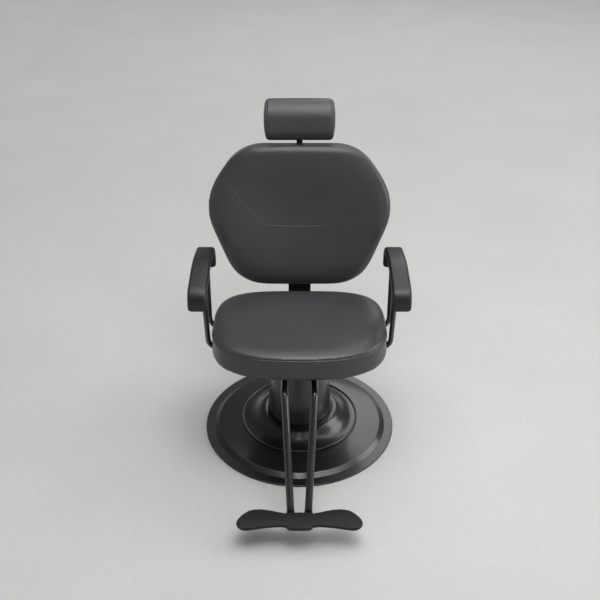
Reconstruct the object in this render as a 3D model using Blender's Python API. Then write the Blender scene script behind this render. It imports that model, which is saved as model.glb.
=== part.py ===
# Hairdressing chair on a round hydraulic base, with a reclining back and an adjustable headrest.
# Metres, +Z up. The origin lies on the floor under the column, and the sitter faces -Y.
import math

import bmesh
import bpy
from mathutils import Matrix, Vector

for leftover in list(bpy.data.objects):
    bpy.data.objects.remove(leftover, do_unlink=True)

# Clearances
TOUCH = 0.0003  # between faces that meet
RUNNING = 0.0006  # around a pin or a rod that turns or slides
SWING = 0.004  # around a piece that swings past another

# Base and column
BASE_RADIUS = 0.325
PLATE_THICK = 0.006
COVER_RADIUS = 0.296
BEVEL_WIDTH = 0.017
BEVEL_RISE = 0.0112
CONE_RISE = 0.0147
DOME_RADIUS = 0.197
DOME_STEP = 0.0022
DOME_RISE = 0.0365
DOME_SEAT = 0.016
LIP_WIDTH = 0.0125
LEDGE_DEPTH = 0.0087
LEDGE_WIDTH = 0.0145
SHEET = 0.0025
COLUMN_FOOT_RADIUS = 0.1085
COLUMN_TOP_RADIUS = 0.0914
COLUMN_HEIGHT = 0.2222
COLUMN_WALL = 0.002
CAP_THICK = 0.003

# Hydraulic pump
RAM_RADIUS = 0.0175
RAM_SHOW = 0.045
PUMP_RADIUS = 0.040
PUMP_FLOOR = 0.016
FLANGE_RADIUS = 0.075
FLANGE_THICK = 0.008
GLAND_HEIGHT = 0.0224
GLAND_RADIUS = 0.036
SEAL_RADIUS = 0.026
SEAL_HEIGHT = 0.004

# Pedal, at the rear
BLOCK_WIDTH = 0.044
BLOCK_LENGTH = 0.0475
BLOCK_TOP = 0.055
CHEEK_THICK = 0.0085
CHEEK_RISE = 0.045
PIVOT_SETBACK = 0.0095
PIVOT_RISE = 0.032
PLUNGER_ARM = 0.022
PLUNGER_RADIUS = 0.006
PLUNGER_LENGTH = 0.0455
PEDAL_PIN_RADIUS = 0.004
PEDAL_THICK = 0.012
PEDAL_REACH = 0.256
PADDLE_LENGTH = 0.036
PADDLE_WIDTH = 0.090
PAD_THICK = 0.006
PEDAL_THROW = 14.0
SPRING_WIRE = 0.0011
SPRING_RADIUS = 0.0094
SPRING_TURNS = 4

# Swivel and seat bracket
HUB_GAP = 0.011
HUB_RADIUS = 0.032
HUB_FLANGE_RADIUS = 0.070
HUB_FLANGE_THICK = 0.008
HUB_ROOF = 0.0167
BEARING_THICK = 0.0047
BRACKET_WIDTH = 0.200
BRACKET_FRONT = 0.130
BRACKET_REAR = 0.110
BRACKET_RISE = 0.0237
BRACKET_FLANGE = 0.030
STEEL = 0.005

# Seat
SEAT_TILT = 3.25
SEAT_HALF_WIDTH = 0.2748
SEAT_CENTRE = -0.085
SEAT_FRONT = 0.2098
SEAT_REAR = 0.2312
SEAT_FRONT_POWER = 2.7
SEAT_REAR_POWER = 3.7
SEAT_BAND = 0.072
SEAT_CROWN = 0.018
BOARD_THICK = 0.012
SKIRT = 0.010
SEAM_DEPTH = 0.0035

# Arms
ARM_TUBE_RADIUS = 0.0083
ARM_FRONT_X = 0.287
ARM_REAR_X = 0.295
ARM_FOOT_END = 0.145
ARM_FRONT_FOOT = -0.100
ARM_FRONT_TOP = -0.140
ARM_REAR_FOOT = 0.030
ARM_REAR_TOP = 0.053
ARM_BEND = 0.030
ARM_FOOT_BEND = 0.035
ARM_SINK = 0.009
ARM_PLATE_WIDTH = 0.050
ARM_PLATE_MARGIN = 0.020
ARM_PLATE_THICK = 0.004
PAD_X = 0.3005
PAD_WIDTH = 0.057
PAD_DEPTH = 0.026
PAD_TOP = 0.667
PAD_APEX = -0.040
PAD_ARCH = 0.350
PAD_FRONT = -0.206
PAD_BACK = 0.117
PAD_FRONT_SLOPE = 9.0
PAD_BACK_SLOPE = 9.6
PAD_BEND = 0.036
PAD_FRONT_DROP = 0.086
PAD_BACK_DROP = 0.102
PAD_ROUND = 0.009

# Footrest
FOOT_TUBE_RADIUS = 0.0115
FOOT_TUBE_X = 0.0455
FOOT_TUBE_LOW_X = 0.0262
FOOT_BEND_Y = -0.270
FOOT_TUBE_LOW_Y = -0.497
FOOT_BEND = 0.035
FOOT_LOW_BEND = 0.020
FOOT_BLOCK_LENGTH = 0.045
FOOT_BLOCK_WALL = 0.006
FOOT_TOP = 0.080
FOOT_THICK = 0.014
FOOT_ROUND = 0.004
FOOT_REAR_LINE = -0.508
FOOT_HALF_WIDTH = 0.184
FOOT_DEPTH = 0.066
FOOT_FLAT_THICK = 0.006
FOOT_FLAT_WIDTH = 0.030
FOOT_FLAT_END = 0.036

# Recline
HINGE_Y = 0.246
HINGE_RISE = 0.0077
HINGE_PIN_RADIUS = 0.006
KNUCKLE_RADIUS = 0.014
EAR_RADIUS = 0.016
EAR_THICK = 0.006
HINGE_ARM_START = 0.030
HINGE_ARM_DEPTH = 0.0095
RECLINE = 35.0
LEVER_LENGTH = 0.045
LEVER_HALF = 0.006
LEVER_EYE_RADIUS = 0.010
LEVER_PIN_RADIUS = 0.005
GAS_RADIUS = 0.011
GAS_LENGTH = 0.0985
ROD_RADIUS = 0.005
FORK_SLACK = 0.0025
FORK_WALL = 0.005
VALVE_Y = 0.090
VALVE_LENGTH = 0.028
VALVE_WIDTH = 0.040
HANDLE_DROP = 0.020
HANDLE_ROD_RADIUS = 0.006
HANDLE_END = 0.235
HANDLE_PADDLE = 0.075
HANDLE_DEPTH = 0.065
HANDLE_THICK = 0.005
GUIDE_X = 0.115

# Back
BACK_TILT = 13.0
BACK_LOW = 0.0698
BACK_HEIGHT = 0.476
BACK_FOOT_HALF = 0.2065
BACK_WAIST_HALF = 0.3274
BACK_WAIST_HEIGHT = 0.2905
BACK_TOP_HALF = 0.1985
BACK_FOOT_ROUND = 0.137
BACK_WAIST_ROUND = 0.180
BACK_TOP_ROUND = 0.150
BACK_THICK = 0.0784
BACK_CROWN = 0.018
BACK_DISH = 0.012
REAR_COVER_THICK = 0.006
SPINE_WIDTH = 0.078
SPINE_THICK = 0.008
SPINE_GAP = 0.015
SMILE_LOW = 0.207
SMILE_RISE = 0.156
SMILE_HALF = 0.245
SMILE_POWER = 3.4
SMILE_CORD = 0.005
SMILE_DEPTH = 0.0022

# Headrest
POST_WIDTH = 0.020
POST_THICK = 0.011
POST_TAIL = 0.065
SLEEVE_DROP = 0.1458
SLEEVE_HEIGHT = 0.100
SLEEVE_WALL = 0.0067
SLEEVE_FLANGE = 0.018
SLEEVE_FLANGE_THICK = 0.004
KNOB_RADIUS = 0.018
KNOB_LENGTH = 0.022
KNOB_SCREW_RADIUS = 0.004
HEAD_RISE = 0.078
HEAD_WIDTH = 0.231
HEAD_HEIGHT = 0.131
HEAD_THICK = 0.064
HEAD_FRONT = 0.089
HEAD_ROUND = 0.020
HEAD_CROWN = 0.010
HEAD_BOARD_THICK = 0.009
HEAD_PIN_RADIUS = 0.003
HEAD_EAR_THICK = 0.004
HEAD_EAR_RADIUS = 0.011
HEAD_BASE_MARGIN = 0.020

# Bolts
BOLT_RADIUS = 0.004
BOLT_HEAD_RADIUS = 0.0075
BOLT_HEAD_HEIGHT = 0.005

# Smoothness of round pieces
DISC_SIDES = 60
DOME_SIDES = 48
DRUM_SIDES = 32
PIN_SIDES = 12
BOLT_SIDES = 8

FINISHES = {
    "coated_steel": ("1d1d1f", 0.45, 0.0),
    "steel": ("8d9094", 0.35, 1.0),
    "polished_steel": ("b4b7bb", 0.15, 1.0),
    "upholstery": ("303134", 0.50, 0.0),
    "moulded_foam": ("222325", 0.45, 0.0),
    "plywood": ("27221f", 0.70, 0.0),
    "plastic": ("18181a", 0.55, 0.0),
    "rubber": ("151516", 0.80, 0.0),
    "aluminium": ("2a2b2d", 0.40, 0.6),
    "bronze": ("8a6a3a", 0.40, 1.0),
}

# Heights that follow from the sizes above
plate_top = PLATE_THICK
cover_low = plate_top + TOUCH
cover_top = cover_low + BEVEL_RISE + CONE_RISE
dome_low = cover_top + TOUCH
lip_top = dome_low + DOME_STEP + DOME_RISE
ledge_top = lip_top - LEDGE_DEPTH
column_low = ledge_top + TOUCH
column_top = column_low + COLUMN_HEIGHT
pump_top = column_top - GLAND_HEIGHT - TOUCH
flange_top = plate_top + TOUCH + FLANGE_THICK
pump_floor = flange_top + PUMP_FLOOR
ram_top = column_top + RAM_SHOW
hub_low = column_top + HUB_GAP
hub_roof = ram_top + BEARING_THICK + 2 * TOUCH
hub_top = hub_roof + HUB_ROOF
bracket_low = hub_top + TOUCH
seat_base = bracket_low + BRACKET_RISE + TOUCH
hinge_z = bracket_low + HINGE_RISE
gas_z = hinge_z - LEVER_LENGTH * (1 + math.cos(math.radians(RECLINE / 2))) / 2
handle_z = bracket_low - HANDLE_DROP
collar_radius = COLUMN_FOOT_RADIUS + RUNNING
spine_front = -SPINE_THICK / 2
cover_rear = spine_front - TOUCH
cover_front = cover_rear - REAR_COVER_THICK
cushion_rear = cover_front - TOUCH
sleeve_front = cover_rear + TOUCH
slot_front = sleeve_front + SLEEVE_WALL
post_y = slot_front + TOUCH + POST_THICK / 2
sleeve_low = BACK_LOW + BACK_HEIGHT - SLEEVE_DROP
post_low = sleeve_low - POST_TAIL
spine_top = post_low - SPINE_GAP
head_z = BACK_LOW + BACK_HEIGHT + HEAD_RISE


def seat_level(y):
    return seat_base - math.tan(math.radians(SEAT_TILT)) * y


# Shapes


def linear(channel):
    return channel / 12.92 if channel <= 0.04045 else ((channel + 0.055) / 1.055) ** 2.4


def paint(item, finish):
    code, roughness, metallic = FINISHES[finish]
    colour = [linear(int(code[i : i + 2], 16) / 255) for i in (0, 2, 4)]
    material = bpy.data.materials.new(item.name)
    material.use_nodes = True
    shader = material.node_tree.nodes["Principled BSDF"]
    shader.inputs["Base Color"].default_value = (*colour, 1)
    shader.inputs["Roughness"].default_value = roughness
    shader.inputs["Metallic"].default_value = metallic
    item.data.materials.append(material)


def make_object(name, bm, parent, follow=False):
    bmesh.ops.recalc_face_normals(bm, faces=bm.faces)
    mesh = bpy.data.meshes.new(name)
    bm.to_mesh(mesh)
    bm.free()
    item = bpy.data.objects.new(name, mesh)
    bpy.context.collection.objects.link(item)
    item.parent = parent
    if follow:
        item.matrix_parent_inverse = Matrix.Translation(-Vector(parent["axis_point"]))
    return item


def piece(name, bm, finish, parent=None, follow=False):
    """One sub-part. With follow, its shape is given in world places under a parent on a joint axis."""
    item = make_object(name, bm, parent, follow)
    item.data.shade_smooth()
    item.data.set_sharp_from_angle(angle=math.radians(35))
    paint(item, finish)
    return item


def shape(*adders):
    bm = bmesh.new()
    for add in adders:
        add(bm)
    return bm


def combine(target, operation, *adders, parent=None):
    """Cuts shapes from a piece, or joins them to it. They share its frame, or follow another parent."""
    label = f"{target.name}_{operation.lower()}_{len(target.modifiers)}"
    cutter = make_object(label, shape(*adders), parent or target.parent, bool(parent))
    if not parent:
        cutter.matrix_parent_inverse = target.matrix_parent_inverse
    cutter.hide_render = True
    cutter.display_type = "WIRE"
    step = target.modifiers.new(label, "BOOLEAN")
    step.operation = operation
    step.solver = "EXACT"
    step.object = cutter


def axis_empty(name, point, parent=None, tilt=0.0):
    """An empty on a joint axis, or a tilted frame, placed in world coordinates."""
    empty = bpy.data.objects.new(name, None)
    bpy.context.collection.objects.link(empty)
    empty.empty_display_size = 0.05
    empty["axis_point"] = point
    empty.location = point
    if parent:
        empty.parent = parent
        empty.location = Vector(point) - Vector(parent["axis_point"])
    empty.rotation_euler.x = -math.radians(tilt)
    return empty


def loft(rings):
    """A closed skin over rings of equally many points, capped flat at both ends."""

    def add(bm):
        rows = [[bm.verts.new(point) for point in ring] for ring in rings]
        for low, high in zip(rows, rows[1:]):
            for i, corner in enumerate(low):
                j = (i + 1) % len(low)
                bm.faces.new((corner, low[j], high[j], high[i]))
        bm.faces.new(rows[0])
        bm.faces.new(rows[-1])

    return add


def prism(outline, axis, low, high):
    """An outline extruded along X, Y or Z. Its points are in the other two axes, in that order."""
    order = {"X": (2, 0, 1), "Y": (0, 2, 1), "Z": (0, 1, 2)}[axis]

    def ring(level):
        return [[(*point, level)[k] for k in order] for point in outline]

    return loft([ring(low), ring(high)])


def box(low, high):
    (x0, y0, z0), (x1, y1, z1) = low, high
    return prism([(x0, y0), (x1, y0), (x1, y1), (x0, y1)], "Z", z0, z1)


def revolve(profile, sides, start=(0, 0, 0), along=(0, 0, 1)):
    """A turned shape. The profile holds a radius and a height along the axis at each point."""

    def add(bm):
        turned = bmesh.new()
        corners = [turned.verts.new((radius, 0, height)) for radius, height in profile]
        edges = []
        for i, corner in enumerate(corners):
            after = corners[(i + 1) % len(corners)]
            if corner.co.x or after.co.x:
                edges.append(turned.edges.new((corner, after)))
        bmesh.ops.spin(
            turned,
            geom=corners + edges,
            cent=(0, 0, 0),
            axis=(0, 0, 1),
            angle=2 * math.pi,
            steps=sides,
            use_merge=True,
        )
        bmesh.ops.remove_doubles(turned, verts=turned.verts, dist=1e-6)
        turn = Vector(along).to_track_quat("Z", "Y").to_matrix().to_4x4()
        turned.transform(Matrix.Translation(start) @ turn)
        scratch = bpy.data.meshes.new("turned")
        turned.to_mesh(scratch)
        turned.free()
        bm.from_mesh(scratch)
        bpy.data.meshes.remove(scratch)

    return add


def rod(start, end, radius, sides=PIN_SIDES):
    length = (Vector(end) - Vector(start)).length
    profile = [(0, 0), (radius, 0), (radius, length), (0, length)]
    return revolve(profile, sides, start, Vector(end) - Vector(start))


def ring(inner, outer, low, high, sides, start=(0, 0, 0), along=(0, 0, 1)):
    profile = [(inner, low), (outer, low), (outer, high), (inner, high)]
    return revolve(profile, sides, start, along)


def bolt(point, along, grip):
    """A round-headed bolt whose head sits at a point and whose shank runs along a direction."""
    head, height = BOLT_HEAD_RADIUS, BOLT_HEAD_HEIGHT
    profile = [(0, -height), (head * 0.8, -height), (head, -height * 0.7), (head, 0)]
    profile += [(BOLT_RADIUS, 0), (BOLT_RADIUS, grip), (0, grip)]
    return revolve(profile, BOLT_SIDES, Vector(point) - Vector(along) * TOUCH, along)


def bolt_hole(point, along, depth):
    """The hole for such a bolt, which starts a little ahead of the head's seat."""
    start = Vector(point) - Vector(along) * SWING
    return rod(start, Vector(point) + Vector(along) * depth, BOLT_RADIUS + RUNNING, BOLT_SIDES)


def fillet(points, radii, steps, closed=False):
    """A path whose corners are replaced by arcs. A corner of radius 0 stays."""
    points = [Vector(point) for point in points]
    path = []
    for i, point in enumerate(points):
        radius = radii[i]
        if radius == 0 or (not closed and i in (0, len(points) - 1)):
            path.append(point)
            continue
        before = (points[i - 1] - point).normalized()
        after = (points[(i + 1) % len(points)] - point).normalized()
        half = before.angle(after) / 2
        centre = point + (before + after).normalized() * radius / math.sin(half)
        first = point + before * radius / math.tan(half) - centre
        last = point + after * radius / math.tan(half) - centre
        sweep = math.pi - 2 * half
        for k in range(steps + 1):
            share = k / steps
            arm = first * math.sin((1 - share) * sweep) + last * math.sin(share * sweep)
            path.append(centre + arm / math.sin(sweep))
    return path


def sweep(path, section, side, scales=None):
    """A section carried along a path, mitred at each point. Its first axis starts along side, and each
    point may scale its two axes."""
    points = [Vector(point) for point in path]
    across = Vector(side)
    rings = []
    for i, point in enumerate(points):
        ahead = (points[i + 1] - point).normalized() if i + 1 < len(points) else None
        along = (point - points[i - 1]).normalized() if i else ahead
        mitre = (along + ahead).normalized() if i and ahead else along
        across = (across - along * across.dot(along)).normalized()
        up = along.cross(across)
        wide, deep = scales[i] if scales else (1, 1)
        corners = []
        for a, b in section:
            offset = across * a * wide + up * b * deep
            offset -= along * (offset.dot(mitre) / along.dot(mitre))
            corners.append(point + offset)
        rings.append(corners)
    return loft(rings)


def circle(radius, sides):
    turns = [2 * math.pi * k / sides for k in range(sides)]
    return [(radius * math.cos(turn), radius * math.sin(turn)) for turn in turns]


def resample(outline, count):
    """Evenly spaced points along a closed outline."""
    points = [Vector(point) for point in outline]
    points.append(points[0])
    lengths = [(b - a).length for a, b in zip(points, points[1:])]
    total = sum(lengths)
    spaced = []
    i = 0
    done = 0.0
    for k in range(count):
        target = total * k / count
        while done + lengths[i] < target:
            done += lengths[i]
            i += 1
        spaced.append(points[i].lerp(points[i + 1], (target - done) / lengths[i]))
    return spaced


def inset(outline, distance):
    """A counter-clockwise outline moved inwards along its normals."""
    moved = []
    for i, point in enumerate(outline):
        along = (outline[(i + 1) % len(outline)] - outline[i - 1]).normalized()
        moved.append(point + Vector((-along.y, along.x)) * distance)
    return moved


def sheet(path, wall):
    """A sheet profile: a path and the same path moved to its left by the wall, level at its start."""
    points = [Vector(point) for point in path]
    inner = []
    for i, point in enumerate(points):
        ahead = (points[i + 1] - point).normalized() if i + 1 < len(points) else None
        along = (point - points[i - 1]).normalized() if i else ahead
        normal = Vector((-along.y, along.x))
        if i and ahead:
            bisector = (normal + Vector((-ahead.y, ahead.x))).normalized()
            inner.append(point + bisector * wall / bisector.dot(normal))
        else:
            moved = point + normal * wall
            if i == 0:
                moved += along * (point.y - moved.y) / along.y
            inner.append(moved)
    return points + inner[::-1]


def cushion_rings(outline, layers, crown, shoulder, place):
    """Rings of a cushion: inset layers up to the shoulder, then a crowned panel towards the middle."""
    rings = []
    for distance, level in layers:
        rings.append([place(point.x, point.y, level) for point in inset(outline, distance)])
    edge = inset(outline, layers[-1][0])
    middle = sum(edge, Vector((0, 0))) / len(edge)
    for share in (0.86, 0.70, 0.52, 0.34, 0.16):
        level = shoulder + crown * (1 - share**2.4)
        near = [middle + (point - middle) * share for point in edge]
        rings.append([place(point.x, point.y, level) for point in near])
    return rings


def cushion_layers(skirt, board, band, crown):
    """Inset and height of a cushion's edge: board recess, lower edge, band, drawn-in seam, shoulder."""
    return [
        (skirt - TOUCH, board + TOUCH),
        (skirt - TOUCH, 0),
        (SEAM_DEPTH, 0),
        (0, 0.06 * band),
        (-SEAM_DEPTH * 0.6, band * 0.5),
        (SEAM_DEPTH * 0.3, band * 0.94),
        (SEAM_DEPTH, band),
        (SEAM_DEPTH * 0.4, band + crown * 0.14),
        (SEAM_DEPTH * 2.5, band + crown * 0.42),
        (SEAM_DEPTH * 7, band + crown * 0.64),
    ]


# Base


def build_base():
    plate_profile = [(0, 0), (BASE_RADIUS, 0), (BASE_RADIUS, plate_top * 0.7)]
    plate_profile += [(BASE_RADIUS - plate_top * 0.3, plate_top), (0, plate_top)]
    piece("base_plate", shape(revolve(plate_profile, DISC_SIDES)), "coated_steel")

    bevel_top = (COVER_RADIUS - BEVEL_WIDTH, cover_low + BEVEL_RISE)
    slope = [(COVER_RADIUS, cover_low), bevel_top, (DOME_RADIUS, cover_top)]
    slope.append((DOME_RADIUS - DOME_SEAT, cover_top))
    piece("base_cover", shape(revolve(sheet(slope, SHEET), DISC_SIDES)), "coated_steel")

    crest = collar_radius + LIP_WIDTH
    bell = [(DOME_RADIUS, dome_low), (DOME_RADIUS, dome_low + DOME_STEP)]
    for share in (0.2, 0.45, 0.65, 0.8, 0.91, 1.0):
        bend = share**1.5
        rise = bend * bend * (3 - 2 * bend)
        radius = DOME_RADIUS + (crest - DOME_RADIUS) * share
        bell.append((radius, dome_low + DOME_STEP + DOME_RISE * rise))
    bell.append((collar_radius, lip_top - LEDGE_DEPTH * 0.2))
    bell += [(collar_radius, ledge_top), (collar_radius - LEDGE_WIDTH, ledge_top)]
    piece("dome_cover", shape(revolve(sheet(bell, SHEET), DOME_SIDES)), "coated_steel")

    cone = [(COLUMN_FOOT_RADIUS, column_low), (COLUMN_TOP_RADIUS, column_top)]
    cone += [(COLUMN_TOP_RADIUS - COLUMN_WALL, column_top)]
    cone += [(COLUMN_FOOT_RADIUS - COLUMN_WALL, column_low)]
    column = piece("column_cover", shape(revolve(cone, DOME_SIDES)), "coated_steel")

    cap_low = column_top + TOUCH
    cap = ring(SEAL_RADIUS + RUNNING, COLUMN_TOP_RADIUS, cap_low, cap_low + CAP_THICK, DRUM_SIDES)
    piece("column_cap", shape(cap), "plastic")
    return column


def build_pump():
    bore = RAM_RADIUS + TOUCH
    low = plate_top + TOUCH
    barrel = [(0, low), (FLANGE_RADIUS, low), (FLANGE_RADIUS, flange_top), (PUMP_RADIUS, flange_top)]
    barrel += [(PUMP_RADIUS, pump_top), (bore, pump_top), (bore, pump_floor), (0, pump_floor)]
    piece("pump_cylinder", shape(revolve(barrel, DRUM_SIDES)), "steel")
    gland = ring(bore, GLAND_RADIUS, pump_top + TOUCH, column_top, DRUM_SIDES)
    piece("pump_gland", shape(gland), "steel")
    seal_low = column_top + TOUCH
    seal = ring(bore, SEAL_RADIUS, seal_low, seal_low + SEAL_HEIGHT, DRUM_SIDES)
    piece("wiper_seal", shape(seal), "rubber")

    ram = axis_empty("ram_axis", (0, 0, ram_top))
    ram_low = pump_floor + TOUCH
    shaft = rod((0, 0, ram_low), (0, 0, ram_top), RAM_RADIUS, DRUM_SIDES)
    piece("ram", shape(shaft), "polished_steel", ram, True)
    bearing_low = ram_top + TOUCH
    puck = rod((0, 0, bearing_low), (0, 0, bearing_low + BEARING_THICK), RAM_RADIUS, DRUM_SIDES)
    piece("thrust_bearing", shape(puck), "bronze", ram, True)
    return ram


# Pedal


def build_pedal(column):
    block_front = PUMP_RADIUS + TOUCH
    block_rear = block_front + BLOCK_LENGTH
    block_low = flange_top + TOUCH
    floor = block_low + BLOCK_TOP
    pivot_y = block_front + PIVOT_SETBACK
    pivot_z = floor + PIVOT_RISE
    plunger_y = pivot_y + PLUNGER_ARM
    half = BLOCK_WIDTH / 2
    inner = half - CHEEK_THICK
    lever_half = inner - RUNNING * 2
    top = floor + CHEEK_RISE
    section = [(-half, block_low), (half, block_low), (half, top), (inner, top), (inner, floor)]
    section += [(-inner, floor), (-inner, top), (-half, top)]
    block = piece("pump_block", shape(prism(section, "Y", block_front, block_rear)), "steel")

    pin_end = half + SWING
    pin = rod((-pin_end, pivot_y, pivot_z), (pin_end, pivot_y, pivot_z), PEDAL_PIN_RADIUS)
    piece("pedal_pin", shape(pin), "steel")
    lever_low = pivot_z - PEDAL_THICK / 2
    plunger_top = lever_low - TOUCH
    plunger_low = plunger_top - PLUNGER_LENGTH
    across = [(side * (half + SWING), pivot_y, pivot_z) for side in (-1, 1)]
    pin_hole = rod(*across, PEDAL_PIN_RADIUS + TOUCH)
    well_low = plunger_low - PLUNGER_ARM * math.radians(PEDAL_THROW) - SWING
    well = rod((0, plunger_y, well_low), (0, plunger_y, floor + SWING), PLUNGER_RADIUS + RUNNING)
    combine(block, "DIFFERENCE", pin_hole, well)

    stem = axis_empty("plunger_axis", (0, plunger_y, plunger_top))
    plunger = rod((0, plunger_y, plunger_low), (0, plunger_y, plunger_top), PLUNGER_RADIUS)
    piece("pump_plunger", shape(plunger), "polished_steel", stem, True)

    piece("pedal_spring", shape(spring(plunger_y, floor + TOUCH, lever_low - TOUCH)), "polished_steel")

    pedal = axis_empty("pedal_axis", (0, pivot_y, pivot_z))
    tip = pivot_y + PEDAL_REACH
    neck = tip - PADDLE_LENGTH
    shoulder = neck - (PADDLE_WIDTH / 2 - lever_half) / 2
    heel = pivot_y - PEDAL_THICK / 2
    plan = [(lever_half, heel), (lever_half, shoulder), (PADDLE_WIDTH / 2, neck), (PADDLE_WIDTH / 2, tip)]
    plan += [(-x, y) for x, y in plan[::-1]]
    bar = prism(plan, "Z", lever_low, lever_low + PEDAL_THICK)
    lever = piece("pedal_lever", shape(bar), "coated_steel", pedal, True)
    combine(lever, "DIFFERENCE", rod(*across, PEDAL_PIN_RADIUS + RUNNING))
    pad_low = lever_low + PEDAL_THICK + TOUCH
    tread = box((-PADDLE_WIDTH / 2, neck, pad_low), (PADDLE_WIDTH / 2, tip, pad_low + PAD_THICK))
    piece("pedal_pad", shape(tread), "rubber", pedal, True)

    wall = COLUMN_FOOT_RADIUS
    dip = (wall - pivot_y) * math.tan(math.radians(PEDAL_THROW))
    slot_low = lever_low - dip - SWING
    slot_high = lever_low + PEDAL_THICK + SWING
    slot_half = lever_half + SWING
    slot = box((-slot_half, wall * 0.6, slot_low), (slot_half, wall * 1.3, slot_high))
    combine(column, "DIFFERENCE", slot)


def spring(centre_y, low, high):
    """A coil around the plunger, flattened against its seats by its end turns."""
    per_turn = 8
    count = SPRING_TURNS * per_turn
    rise = high - low - 2 * SPRING_WIRE
    path = []
    for k in range(count + 1):
        turn = 2 * math.pi * k / per_turn
        height = low + SPRING_WIRE + rise * k / count
        path.append((SPRING_RADIUS * math.cos(turn), centre_y + SPRING_RADIUS * math.sin(turn), height))
    least = rise / SPRING_TURNS - 2 * SPRING_WIRE
    print(f"pedal spring: least gap between turns {least * 1000:.2f} mm")
    return sweep(path, circle(SPRING_WIRE * 0.9, 5), (1, 0, 0))


# Swivel and seat


def build_swivel(ram):
    seat = axis_empty("seat_axis", (0, 0, hub_top), ram)
    bore = RAM_RADIUS + RUNNING
    neck = hub_top - HUB_FLANGE_THICK
    turned = [(0, hub_top), (HUB_FLANGE_RADIUS, hub_top), (HUB_FLANGE_RADIUS, neck), (HUB_RADIUS, neck)]
    turned += [(HUB_RADIUS, hub_low), (bore, hub_low), (bore, hub_roof), (0, hub_roof)]
    piece("swivel_hub", shape(revolve(turned, DRUM_SIDES)), "coated_steel", seat, True)

    half = BRACKET_WIDTH / 2
    rings = []
    for y in (-BRACKET_FRONT, BRACKET_REAR):
        top = seat_level(y) - TOUCH
        side = [(half, bracket_low), (half, top - STEEL), (half + BRACKET_FLANGE, top - STEEL)]
        side += [(half + BRACKET_FLANGE, top), (half - STEEL, top), (half - STEEL, bracket_low + STEEL)]
        outline = side + [(-x, z) for x, z in side[::-1]]
        rings.append([(x, y, z) for x, z in outline])
    bracket = piece("seat_bracket", shape(loft(rings)), "coated_steel", seat, True)
    return seat, bracket


def seat_outline(count):
    points = []
    for k in range(count):
        turn = 2 * math.pi * k / count
        power = SEAT_REAR_POWER if math.sin(turn) > 0 else SEAT_FRONT_POWER
        depth = SEAT_REAR if math.sin(turn) > 0 else SEAT_FRONT
        across = abs(math.cos(turn)) / SEAT_HALF_WIDTH
        along = abs(math.sin(turn)) / depth
        reach = (across**power + along**power) ** (-1 / power)
        points.append(Vector((reach * math.cos(turn), SEAT_CENTRE + reach * math.sin(turn))))
    return points


def build_seat(seat, bracket):
    tilted = axis_empty("seat_frame", (0, 0, seat_base), seat, SEAT_TILT)
    outline = resample(seat_outline(96), 52)
    board = prism(inset(outline, SKIRT), "Z", 0, BOARD_THICK)
    board = piece("seat_board", shape(board), "plywood", tilted)
    layers = cushion_layers(SKIRT, BOARD_THICK, SEAT_BAND, SEAT_CROWN)
    rings = cushion_rings(outline, layers, SEAT_CROWN * 0.36, layers[-1][1], lambda x, y, z: (x, y, z))
    cushion = piece("seat_cushion", shape(loft(rings)), "upholstery", tilted)

    up = (0, 0, 1)
    flange_x = BRACKET_WIDTH / 2 + BRACKET_FLANGE / 2
    under = -TOUCH - STEEL
    rows = (-BRACKET_FRONT + 4 * BOLT_HEAD_RADIUS, VALVE_Y - 6 * BOLT_HEAD_RADIUS)
    spots = [(side * flange_x, y, under) for side in (-1, 1) for y in rows]
    grip = STEEL + BOARD_THICK * 0.75
    for number, spot in enumerate(spots, 1):
        piece(f"board_bolt_{number}", shape(bolt(spot, up, grip)), "steel", tilted)
    holes = [bolt_hole(spot, up, grip + TOUCH * 2) for spot in spots]
    combine(board, "DIFFERENCE", *holes)
    in_world = [bolt_hole((x, y, seat_level(y) + under), up, grip) for x, y, under in spots]
    combine(bracket, "DIFFERENCE", *in_world)

    plate_top = ARM_SINK - 2 * ARM_TUBE_RADIUS - TOUCH
    plate_in = ARM_FOOT_END - ARM_PLATE_MARGIN / 4
    for side, label in ((-1, "left"), (1, "right")):
        edges = sorted((side * plate_in, side * (plate_in + ARM_PLATE_WIDTH)))
        low = (edges[0], ARM_FRONT_FOOT - ARM_PLATE_MARGIN, plate_top - ARM_PLATE_THICK)
        high = (edges[1], ARM_REAR_FOOT + ARM_PLATE_MARGIN, plate_top)
        piece(f"arm_plate_{label}", shape(box(low, high)), "coated_steel", tilted)
    return board, cushion


# Arms


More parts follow.
